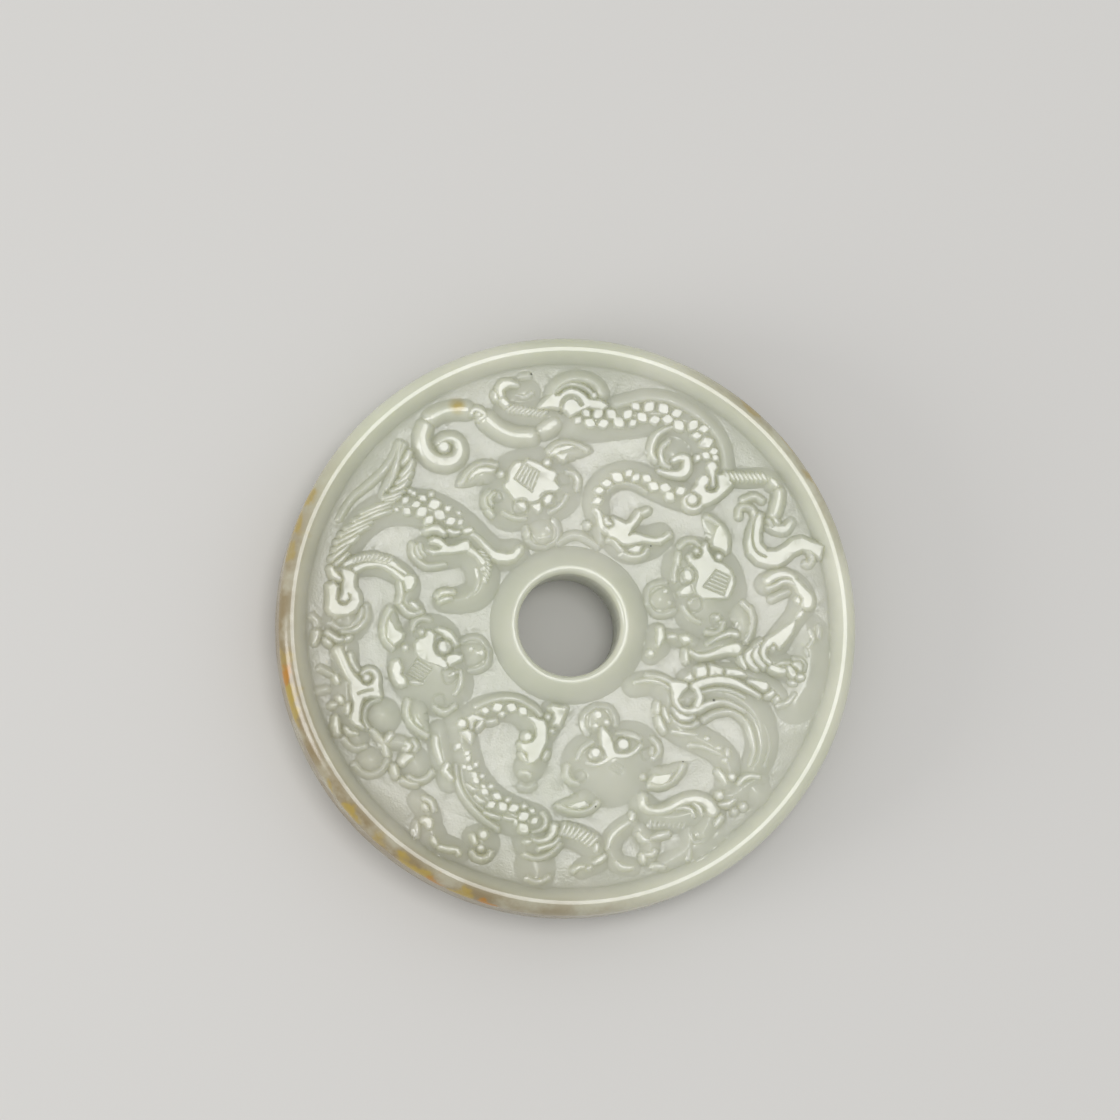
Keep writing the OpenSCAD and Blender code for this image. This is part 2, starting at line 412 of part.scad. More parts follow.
// A stroke's section has a flat top with sloping sides, or a crest where flat is 0
function stroke_shifts(flat, foot, top) =
    flat > 0 ? [[-foot, -root], [-flat, top], [flat, top], [foot, -root]]
        : [[-foot, -root], [0, top], [foot, -root]];

// Faces from each cross-section of n points to the next, all the way round it
function skin_faces(count, n) = concat(
    [for (k = [0 : count - 2], i = [0 : n - 1])
        let (m = k + 1, j = (i + 1) % n) [k * n + i, k * n + j, m * n + j]],
    [for (k = [0 : count - 2], i = [0 : n - 1])
        let (m = k + 1, j = (i + 1) % n) [k * n + i, m * n + j, m * n + i]]
);

// Faces of a stroke's blunt end: section lists the points of its last cross-section, and tip and
// tip + 1 are the two points of its tip
function end_faces(section, tip) =
    let (n = len(section)) concat(
        [[section[0], section[1], tip], [section[n - 2], section[n - 1], tip + 1]],
        [[section[0], tip, tip + 1], [section[0], tip + 1, section[n - 1]]],
        [[section[n - 2], tip + 1, tip]],
        n > 3 ? [[section[1], section[2], tip]] : []
    );

// The two points of a blunt tip, ahead of a stroke's end
function tip_points(place, heading, foot) =
    let (side = [-heading.y, heading.x] * foot * tip_width, tip = place + heading * foot * tip_reach)
    [for (q = [tip - side, tip + side]) [q.x, q.y, -root]];

// Knob with a flat top: its side slope is as steep as a stroke's
module knob(place, r, top, slope) {
    translate([place.x, place.y, -root])
        cylinder(h = top + root, r1 = r + slope * rise(top), r2 = r, $fn = knob_sides);
}

// Swept stroke: flats are the half widths of its top, and slopes the widths of its sides
module stroke(path, flats, slopes, top) {
    count = len(path);
    feet = flats + slopes * rise(top);
    cuts = [for (i = [0 : count - 1]) section(path, i, false, stroke_shifts(flats[i], feet[i], top))];
    n = len(cuts[0]);
    tips = count * n;
    polyhedron(
        points = concat(
            [for (cut = cuts) each cut],
            tip_points(path[count - 1], step(path, count - 1, false), feet[count - 1]),
            tip_points(path[0], -step(path, 0, false), feet[0])
        ),
        faces = concat(
            skin_faces(count, n),
            end_faces([for (i = [0 : n - 1]) (count - 1) * n + i], tips),
            end_faces([for (i = [n - 1 : -1 : 0]) i], tips + 2)
        )
    );
}

module flat_stroke(row) {
    path = [for (p = row[3]) on_disc(p)];
    n = len(path);
    stroke(path, along(n, row[2]) * unit, [for (i = [1 : n]) row[1] * unit], row[0]);
}

module crest_body(row) {
    path = [for (p = row[3]) on_disc(p)];
    n = len(path);
    widths = along(n, row[2]);
    stroke(path, [for (w = widths) 0], [for (w = widths) (w + row[1]) * unit], row[0]);
}

// Twice the area inside an outline, above 0 where it runs anticlockwise
function double_area(outline) =
    let (n = len(outline))
    sum([for (i = [0 : n - 1]) let (p = outline[i], q = outline[(i + 1) % n]) p.x * q.y - q.x * p.y]);
function sum(values, i = 0) = i < len(values) ? values[i] + sum(values, i + 1) : 0;
function anticlockwise(outline) =
    double_area(outline) > 0 ? outline : [for (i = [len(outline) - 1 : -1 : 0]) outline[i]];

// Flat-topped shape with a slope outside its outline
module plate(row) {
    top = row[0];
    outline = anticlockwise([for (p = row[2]) on_disc(p)]);
    count = len(outline);
    foot = row[1] * unit * rise(top);
    cuts = [for (i = [0 : count - 1])
        section(outline, i, true, [[0, -root], [-foot, -root], [0, top]])];
    polyhedron(
        points = [for (cut = cuts) each cut],
        faces = concat(
            [[for (i = [0 : count - 1]) i * 3]],
            [[for (i = [count - 1 : -1 : 0]) i * 3 + 2]],
            [for (i = [0 : count - 1], k = [0, 1])
                let (j = (i + 1) % count) [i * 3 + k, i * 3 + k + 1, j * 3 + k + 1]],
            [for (i = [0 : count - 1], k = [0, 1])
                let (j = (i + 1) % count) [i * 3 + k, j * 3 + k + 1, j * 3 + k]]
        )
    );
}

// Rounded form over an outline that runs anticlockwise
module dome(height, power, centre, outline) {
    n = len(outline);
    middle = on_disc(centre);
    rings = [for (s = DOME_RINGS)
        let (z = height * (1 - pow(s, power)))
        [for (p = outline) let (q = mix(middle, on_disc(p), s)) [q.x, q.y, z]]];
    base = [for (q = rings[0]) [q.x, q.y, -root]];
    layers = concat([base], rings);
    last = len(layers) - 1;
    polyhedron(
        points = [for (layer = layers) each layer],
        faces = concat(
            [[for (i = [0 : n - 1]) i]],
            [[for (i = [n - 1 : -1 : 0]) last * n + i]],
            [for (k = [0 : last - 1], i = [0 : n - 1])
                [k * n + i, (k + 1) * n + i, (k + 1) * n + (i + 1) % n]],
            [for (k = [0 : last - 1], i = [0 : n - 1])
                [k * n + i, (k + 1) * n + (i + 1) % n, k * n + (i + 1) % n]]
        )
    );
}

function both_sides(half) =
    let (n = len(half)) concat(half, [for (i = [n - 2 : -1 : 1]) [half[i].x, -half[i].y]]);

// Beast mask with its brow outward and its muzzle at the collar
module mask() {
    for (row = MASK_DOMES) dome(row[0], row[1], row[2], both_sides(row[3]));
    for (row = MASK_MIDDLE) plate(row);
    for (side = [0, 1]) mirror([0, side, 0]) {
        for (row = MASK_EARS) dome(row[0], row[1], row[2], row[3]);
        for (row = MASK_PLATES) plate(row);
        for (row = MASK_STROKES) flat_stroke(row);
        for (row = MASK_KNOBS) drawn_knob(row);
    }
}

module drawn_knob(row) {
    knob(on_disc(row[0]), row[1] * unit, row[2], row[3] * unit);
}

module dragons() {
    for (row = BODIES) crest_body(row);
    for (row = PLATES) plate(row);
    for (row = STROKES) flat_stroke(row);
    for (row = KNOBS) drawn_knob(row);
    for (row = SCALES) drawn_knob([[row[0], row[1]], row[2], 1, scale_slope]);
}

// Floor of the carving: the flat field between the collar and the groove
module carved_field() {
    translate([0, 0, -floor_deep])
        linear_extrude(floor_deep)
            difference() {
                circle(r = field_r, $fn = field_sides);
                circle(r = collar_foot_r - field_tuck, $fn = field_sides);
            }
}

// The whole carving, as high as the relief once it is drawn out to size
module carving() {
    resize([0, 0, relief_h * (1 + floor_deep)])
        union() {
            carved_field();
            dragons();
            for (angle = MASK_ANGLES) rotate(angle) mask();
        }
}

// Turned blank: back, rounded edges, lip, slope, recess for the field, collar and hole
module blank() {
    profile = concat(
        round_corner([hole_r + back_mouth_round, back_mouth_round], back_mouth_round, 180, 270),
        round_corner([disc_r - back_round, back_round], back_round, -90, 0),
        round_corner([lip_r, disc_t - lip_round], lip_round, 0, 90),
        [[slope_top_r, disc_t], [slope_foot_r, groove_z], [collar_end_r, groove_z]],
        round_corner([collar_top_r, disc_t - mouth_round], mouth_round, 90, 180)
    );
    rotate_extrude($fn = 180)
        polygon(profile);
}

module carved_disc() {
    color("darkseagreen")
        union() {
            blank();
            translate([0, 0, field_z])
                carving();
        }
}

carved_disc();
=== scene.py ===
"""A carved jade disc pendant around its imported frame: the carving down to its finest cuts, the
translucent stone with its grain, brown skin and stains, and the floor, light and camera."""

import json
import math

import bpy
import numpy as np
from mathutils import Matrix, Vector


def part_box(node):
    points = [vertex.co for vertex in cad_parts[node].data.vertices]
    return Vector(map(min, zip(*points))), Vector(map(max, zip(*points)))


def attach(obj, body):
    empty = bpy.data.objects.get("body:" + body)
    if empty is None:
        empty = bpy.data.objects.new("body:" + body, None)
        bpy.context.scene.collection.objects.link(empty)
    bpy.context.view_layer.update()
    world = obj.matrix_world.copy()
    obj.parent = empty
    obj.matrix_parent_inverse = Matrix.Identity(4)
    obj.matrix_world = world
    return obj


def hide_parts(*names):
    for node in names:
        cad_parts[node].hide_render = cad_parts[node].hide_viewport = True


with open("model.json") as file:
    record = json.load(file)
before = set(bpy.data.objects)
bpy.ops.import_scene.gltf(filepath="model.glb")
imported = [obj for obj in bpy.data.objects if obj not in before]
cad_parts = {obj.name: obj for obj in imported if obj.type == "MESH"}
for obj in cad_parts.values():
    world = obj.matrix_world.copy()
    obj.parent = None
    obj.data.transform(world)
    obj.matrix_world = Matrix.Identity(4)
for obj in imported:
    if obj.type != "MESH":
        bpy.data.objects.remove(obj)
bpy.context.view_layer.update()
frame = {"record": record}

# Sizes are in millimetres up to the mesh, and the frame gives the disc's own
MM = 0.001
low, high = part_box("carved_disc")
DISC_R = (high.x - low.x) / 2 / MM
DISC_T = (high.z - low.z) / MM
cord_hole = next(m for m in frame["record"]["mounts"] if m["name"] == "cord_hole")
HOLE_R = cord_hole["dims"]["r_mm"]

# Turned blank
BACK_ROUND = 1.2
LIP_ROUND = 1.05
LIP_TOP_W = 0.34
# The lip rounds off from a crisp edge that starts this many degrees down
LIP_EDGE_ANGLE = 25
LIP_SLOPE_W = 1.21
GROOVE_W = 0.2
GROOVE_DEEP = 0.03
MOUTH_W = 0.5
MOUTH_DEEP = 0.9
MOUTH_POWER = 2.2
COLLAR_FLAT_W = 0.3
COLLAR_SLOPE_W = 1.95
BACK_MOUTH_ROUND = 0.6
RELIEF_H = 0.8

FIELD_Z = DISC_T - RELIEF_H
GROOVE_Z = FIELD_Z - GROOVE_DEEP
LIP_R = DISC_R - LIP_ROUND
SLOPE_TOP_R = LIP_R - LIP_TOP_W
SLOPE_FOOT_R = SLOPE_TOP_R - LIP_SLOPE_W
FIELD_R = SLOPE_FOOT_R - GROOVE_W
COLLAR_TOP_R = HOLE_R + MOUTH_W
COLLAR_EDGE_R = COLLAR_TOP_R + COLLAR_FLAT_W
COLLAR_FOOT_R = COLLAR_EDGE_R + COLLAR_SLOPE_W

# The carving is drawn on a disc of this radius, and its heights are shares of RELIEF_H
DRAWN_R = 28.14
UNIT = DISC_R / DRAWN_R
# The carving is this far off the blank's middle
CARVING_OFF = (-0.1, -0.22)

# Four beast masks face outward at these angles. A mask is drawn with X outward and Y across.
# Domes of every mask: height, power of the rounding, centre, and half of the outline
MASK_DOMES = [
    # Head
    (0.95, 1.25, (13.6, 0), [(10.1, 0), (10.15, 1.6), (10.3, 3), (11.1, 4.3), (12.2, 5), (13.6, 5.2),
        (15, 4.9), (15.9, 3.9), (17, 3.2), (17.9, 1.8), (18.1, 0)]),
    # Muzzle
    (0.75, 1.6, (9.3, 0), [(7.75, 0), (7.95, 0.9), (8.5, 1.5), (9.3, 1.75), (10.3, 1.7), (11, 1),
        (11.2, 0)]),
]
# Ear domes: the same, with the whole outline of one, and mirrored for the other
MASK_EARS = [
    (0.8, 1.5, (16.4, 4.3), [(15.5, 4.3), (15.4, 3), (15.8, 2.4), (16.8, 2.2), (17.6, 3.2), (17.9, 4.4),
        (17.5, 5.7), (16.6, 6.8), (15.9, 7.1), (15.6, 6), (15.6, 5.2)]),
]
# Strokes of both sides of every mask: top height, half widths of the flat top at the start, the
# middle and the end, and the points that it runs through. Where there are two half widths, the end
# has that of the start.
MASK_STROKES = [
    # Ear rim
    (0.88, (0.02, 0.05), [(16.2, 6.3), (16.9, 5.5), (17.35, 4.6), (17.4, 3.6), (17, 2.7)]),
    # Cheek curl
    (0.75, (0.02, 0.05), [(14.6, 3.9), (14.2, 4.5), (13.5, 4.65), (12.8, 4.35)]),
    # Eyelid
    (0.8, (0.02, 0.06), [(12.4, 3.2), (11.9, 2.75), (11.5, 2.1), (11.3, 1.3)]),
    # Muzzle ring
    (0.5, (0.02, 0.04), [(10.4, 1.4), (9.5, 1.5), (8.6, 1.15), (8.15, 0)]),
]
# Cuts of both sides of every mask: depth as a share of RELIEF_H, half width, and the points
MASK_CUTS = [
    # Round the eye
    (0.14, 0.12, [(13.15, 1.4), (13, 1.95), (12.45, 2.15), (11.9, 1.95), (11.75, 1.4), (11.9, 0.85),
        (12.45, 0.7), (13, 0.85), (13.15, 1.4)]),
    # Round the temple's knob
    (0.12, 0.11, [(14.65, 3.45), (14.5, 3.9), (14.05, 4.05), (13.6, 3.9), (13.5, 3.45), (13.6, 3),
        (14.05, 2.85), (14.5, 3), (14.65, 3.45)]),
    # Round the muzzle's knobs
    (0.1, 0.1, [(10.2, 1.05), (9.6, 1.1), (9.1, 0.95), (8.6, 0.7), (8.35, 0)]),
]
# What is worn differently on each mask: its angle, plates, strokes, knobs and cuts, and the corners
# of the hatched lozenge on its forehead. A plate is a flat-topped shape: top height, outline of the
# top. A knob is: place, radius of the top, top height.
MASKS = [
    dict(angle=105, plates=[
        (1, [(16.6, 0.4), (16.6, 0.75), (16.3, 1.2), (16, 1.45), (15.6, 1.65), (15.15, 1.85), (14.9, 2.3),
            (14.6, 2.35), (14.1, 2.1), (13.5, 1.9), (13.2, 1.65), (13.25, 1.3), (13, 0.9), (12.7, 0.4),
            (12.65, 0), (12.7, -0.4), (13, -0.9), (13.2, -1.3), (13.15, -1.7), (13.1, -2.3), (13.3, -2.65),
            (13.6, -2.5), (14.1, -2.3), (14.6, -2.7), (14.9, -2.6), (15.2, -2.1), (15.5, -1.8),
            (15.9, -1.45), (16.3, -0.9), (16.6, -0.4), (16.5, -0.3), (16.45, 0.3)]),
        (1, [(12.85, 1.7), (12.75, 1.05), (12.35, 0.95), (12.1, 1.1), (12.45, 1.45)]),
        (1, [(12.7, -1.8), (12.9, -1.5), (12.75, -1.15), (12.4, -0.95), (12.1, -1.05), (12.15, -1.45)]),
        (1, [(12.3, 0.35), (12.25, -0.45), (11.7, -0.35), (11.6, -0.1), (11.95, 0.2)]),
        (0.95, [(16.3, 5.5), (16.8, 5.1), (17.05, 4.4), (16.95, 3.7), (16.6, 3), (16.45, 3.3), (16.65, 4),
            (16.6, 4.8)]),
        (0.95, [(16.7, -2.8), (17.05, -3.3), (17.05, -4.4), (16.85, -5.1), (16.7, -4.5), (16.75, -3.8),
            (16.55, -3.2)]),
        (0.9, [(16.45, -3.3), (16.35, -4.4), (15.85, -3.9), (15.95, -3.6)]),
    ], strokes=[
        (0.9, (0.03, 0.08), [(14.4, 3.6), (14.1, 4.05), (13.4, 4.1)]),
        (0.85, (0.03, 0.07), [(12.9, 4.6), (12.4, 4.3)]),
        (0.85, (0.05, 0.09), [(9.9, 1.4), (9.55, 1.5)]),
        (0.85, (0.05, 0.08), [(9.85, -0.5), (9.55, -0.65)]),
        (0.8, (0.03, 0.06), [(9.05, 0.4), (9, -0.5)]),
    ], knobs=[
        ((16, 2.4), 0.15, 0.9), ((15.95, -2.2), 0.2, 0.95),
    ], lozenge=[(16.5, 0), (15.25, 1.3), (13.6, 0), (15.25, -1.2)]),
    dict(angle=17, plates=[
        (1, [(15.2, 3.8), (15.15, 3.2), (15.35, 2.4), (15.5, 1.95), (16.2, 1.45), (16.65, 0.75),
            (16.75, 0), (16.6, -0.6), (16.1, -1.25), (15.7, -1.65), (15.2, -1.6), (14.2, -1.3), (13.2, -1),
            (12.95, -0.4), (12.95, 0), (13.2, 0.4), (13.6, 1), (13.7, 1.5), (13.45, 2.2), (13.2, 2.7),
            (13.2, 3.2), (13.5, 3.3), (13.6, 2.9), (14, 2.65), (14.4, 2.7), (14.8, 3.1), (14.85, 3.6)]),
        (1, [(12.95, 2.1), (13.25, 1.65), (13.1, 1.05), (12.6, 0.85), (12.3, 1.2), (12.4, 1.75),
            (12.65, 2.1)]),
        (1, [(12.55, 0.45), (12.55, -0.3), (12, -0.3), (11.45, -0.1), (11.4, 0.1), (12, 0.4)]),
        (0.95, [(17.1, 5.2), (17.3, 4.4), (17.35, 3.7), (17.15, 2.9), (16.9, 2.6), (16.5, 3.1),
            (15.9, 3.5), (16.1, 4.1), (16.6, 4.8)]),
    ], strokes=[
        (0.9, (0.03, 0.1), [(12.4, 3.7), (12.15, 3.2), (12, 2.7)]),
        (0.85, (0.03, 0.06), [(12.9, -1), (12.5, -0.9), (12.2, -1.1)]),
        (0.85, (0.04, 0.1), [(17.3, -4.8), (16.9, -5.4)]),
        (0.85, (0.03, 0.05), [(17.5, -3.4), (17.5, -4.4)]),
    ], knobs=[
        ((16.1, 2.3), 0.2, 0.9), ((14.2, 3.45), 0.13, 0.95), ((10.1, 0.6), 0.14, 0.72),
        ((10.1, -0.55), 0.12, 0.72), ((9.35, 0.1), 0.16, 0.7), ((14.2, -3.3), 0.1, 0.85),
    ], lozenge=[(16.55, 0.1), (15.4, 1.15), (13.75, -0.05), (15.4, -1.4)]),
    dict(angle=196, plates=[
        (1, [(14.7, -1), (14.9, -1.6), (14.7, -2.4), (14.2, -2.75), (13.7, -2.8), (13.3, -3.2),
            (13.1, -3.2), (12.85, -2.8), (13.05, -2.3), (13.25, -1.8), (13.25, -1.2), (13, -0.75),
            (12.7, -0.3), (12.5, 0), (12.45, 0.6), (12.7, 0.7), (13, 0.3), (13.5, 0), (14.2, -0.5)]),
        (1, [(17.1, 1), (17.45, 0.8), (17.65, 0.2), (17.6, -0.6), (17.3, -1.2), (16.9, -1.3), (16.8, -0.6),
            (17.1, 0), (16.8, 0.5), (16.8, 1)]),
        (1, [(12.2, 0.5), (12, 0.35), (11, 0.15), (10.9, -0.1), (11.4, -0.35), (12.1, -0.45), (12.3, 0)]),
        (0.95, [(16.8, -3), (17.15, -3.7), (17, -4.6), (16.6, -5.3), (16.4, -4.9), (16.3, -4.3),
            (15.75, -3.7), (16, -3.3)]),
    ], strokes=[
        (0.98, (0.08, 0.28, 0.05), [(12.2, -3.15), (11.7, -2.7), (11.25, -2), (11, -1.4)]),
        (0.85, (0.03, 0.12), [(12.4, 1.45), (12, 1.3), (11.7, 1.25)]),
        (0.85, (0.03, 0.08), [(16.2, 1), (15.7, 1.2), (15.2, 1.4)]),
        (0.85, (0.04, 0.12), [(16.4, 5.3), (16.7, 4.8), (16.7, 4.2)]),
    ], knobs=[
        ((12.15, -1.4), 0.5, 1), ((13.85, -3.35), 0.12, 0.95), ((15.8, -2.35), 0.12, 0.9),
        ((9.7, -0.5), 0.14, 0.85), ((8.9, 0.1), 0.22, 0.85),
    ], cuts=[
        (0.2, 0.12, [(12.15, -0.55), (12.7, -0.8), (12.95, -1.4), (12.7, -2), (12.15, -2.2), (11.6, -2),
            (11.35, -1.4), (11.6, -0.8), (12.15, -0.55)]),
    ], lozenge=[(16.4, 0.1), (15.2, 1.3), (13.9, 0.3), (15, -1)]),
    dict(angle=288, plates=[
        (1, [(13.4, 0.5), (13.4, -0.45), (12.7, -0.4), (12, -0.5), (11.2, -0.35), (10.3, 0), (11.2, 0.35),
            (12, 0.45), (12.7, 0.35)]),
        (0.95, [(16.6, 5), (17.1, 4.5), (17.3, 3.9), (17.1, 3.3), (16.7, 2.9), (16.3, 3.3),
            (16.45, 4.1)]),
        (0.95, [(16.55, -5.4), (16.95, -4.6), (16.9, -3.7), (16.5, -3.9), (16.45, -4.6)]),
    ], strokes=[
        (1, (0.04, 0.13, 0.2), [(13.05, 3), (13.4, 2.4), (13.6, 1.7), (13.5, 1), (13.25, 0.4)]),
        (1, (0.18, 0.1, 0.03), [(13.3, -0.3), (13.5, -1), (13.5, -1.7), (13.1, -2.4)]),
        (0.85, (0.03, 0.1), [(12.5, 3.1), (12, 2.6), (11.65, 1.9)]),
        (0.85, (0.03, 0.06), [(14.1, 3.9), (13.7, 4)]),
    ], knobs=[
        ((12.45, 1.45), 0.46, 1), ((12.4, -1.35), 0.38, 1), ((9.9, 0.6), 0.18, 0.95),
        ((9.9, -0.5), 0.16, 0.95), ((9, 0), 0.32, 0.97), ((16, 2.3), 0.1, 0.85),
    ], cuts=[
        (0.08, 0.1, [(14.9, 0.5), (14, -0.2)]),
        (0.08, 0.1, [(15.1, 0.2), (14.2, -0.5)]),
        (0.08, 0.1, [(14.5, 0.7), (13.9, 0.2)]),
    ]),
]
# Lines that cross a lozenge one way, and the depth and half width of its cuts
LOZENGE_LINES = 4
LOZENGE_CUT = (0.13, 0.07)

# Feathers of the left beast: columns of a stroke without its points, and the points of each
FEATHER = (0.95, (0.03, 0.12, 0.04))
FEATHERS = [
    [(-15.4, 16.9), (-15.6, 16.4), (-15.95, 15.9)], [(-15.15, 16), (-15.45, 15.3), (-16.1, 14.6)],
    [(-15.3, 15), (-15.75, 14.4), (-16.5, 13.9)], [(-15.6, 14.1), (-16.2, 13.5), (-17, 13.1)],
    [(-16, 13.1), (-16.8, 12.7), (-17.9, 12.35)], [(-16.3, 12.6), (-17, 12.3), (-17.6, 12.15)],
    [(-16.9, 12.05), (-18.4, 11.55), (-20, 10.9)], [(-17.3, 11.6), (-18.9, 11), (-20.7, 10.15)],
    [(-17.2, 11.15), (-18.4, 10.8), (-19.6, 10.25)], [(-18.9, 10.55), (-20.2, 10), (-21.5, 9.35)],
    [(-19.1, 10.1), (-20.6, 9.4), (-22, 8.75)], [(-19.4, 9.65), (-20.3, 9.2), (-21, 8.75)],
    [(-20.3, 9.15), (-21.3, 8.6), (-22.4, 8.05)], [(-20.4, 8.7), (-21, 8.2), (-21.5, 7.9)],
    [(-20.8, 8.5), (-21.7, 7.9), (-22.6, 7.3)], [(-21.3, 7.8), (-22.1, 7.1), (-22.9, 6.45)],
    [(-21.4, 7), (-21.9, 6.5), (-22.5, 6)],
]

# Ropes, rows of short slanted strokes: top height, half width and length of a stroke, its angle to
# the row, how many, and the line that the row follows
ROPES = [
    (0.8, 0.07, 0.6, 50, 9, [(-5.7, 21.35), (-4, 21), (-2.1, 20.75)]),
    (1, 0.14, 0.62, -55, 9, [(15.4, 14.8), (17.2, 14.7), (19.4, 14.72)]),
    (1, 0.09, 0.45, 55, 9, [(-20.9, 6.3), (-19, 6.65), (-17.2, 6.25)]),
    (0.5, 0.045, 0.55, 80, 8, [(7.6, -18.95), (9.5, -18.9), (11.4, -19.1)]),
    (0.78, 0.12, 0.95, 75, 8, [(-0.9, -19.6), (0.6, -19.95), (2.4, -20.9)]),
    (0.85, 0.08, 0.5, 40, 8, [(-8.5, 7.4), (-7.9, 6.4), (-7.9, 5.2), (-8.2, 4.4)]),
]

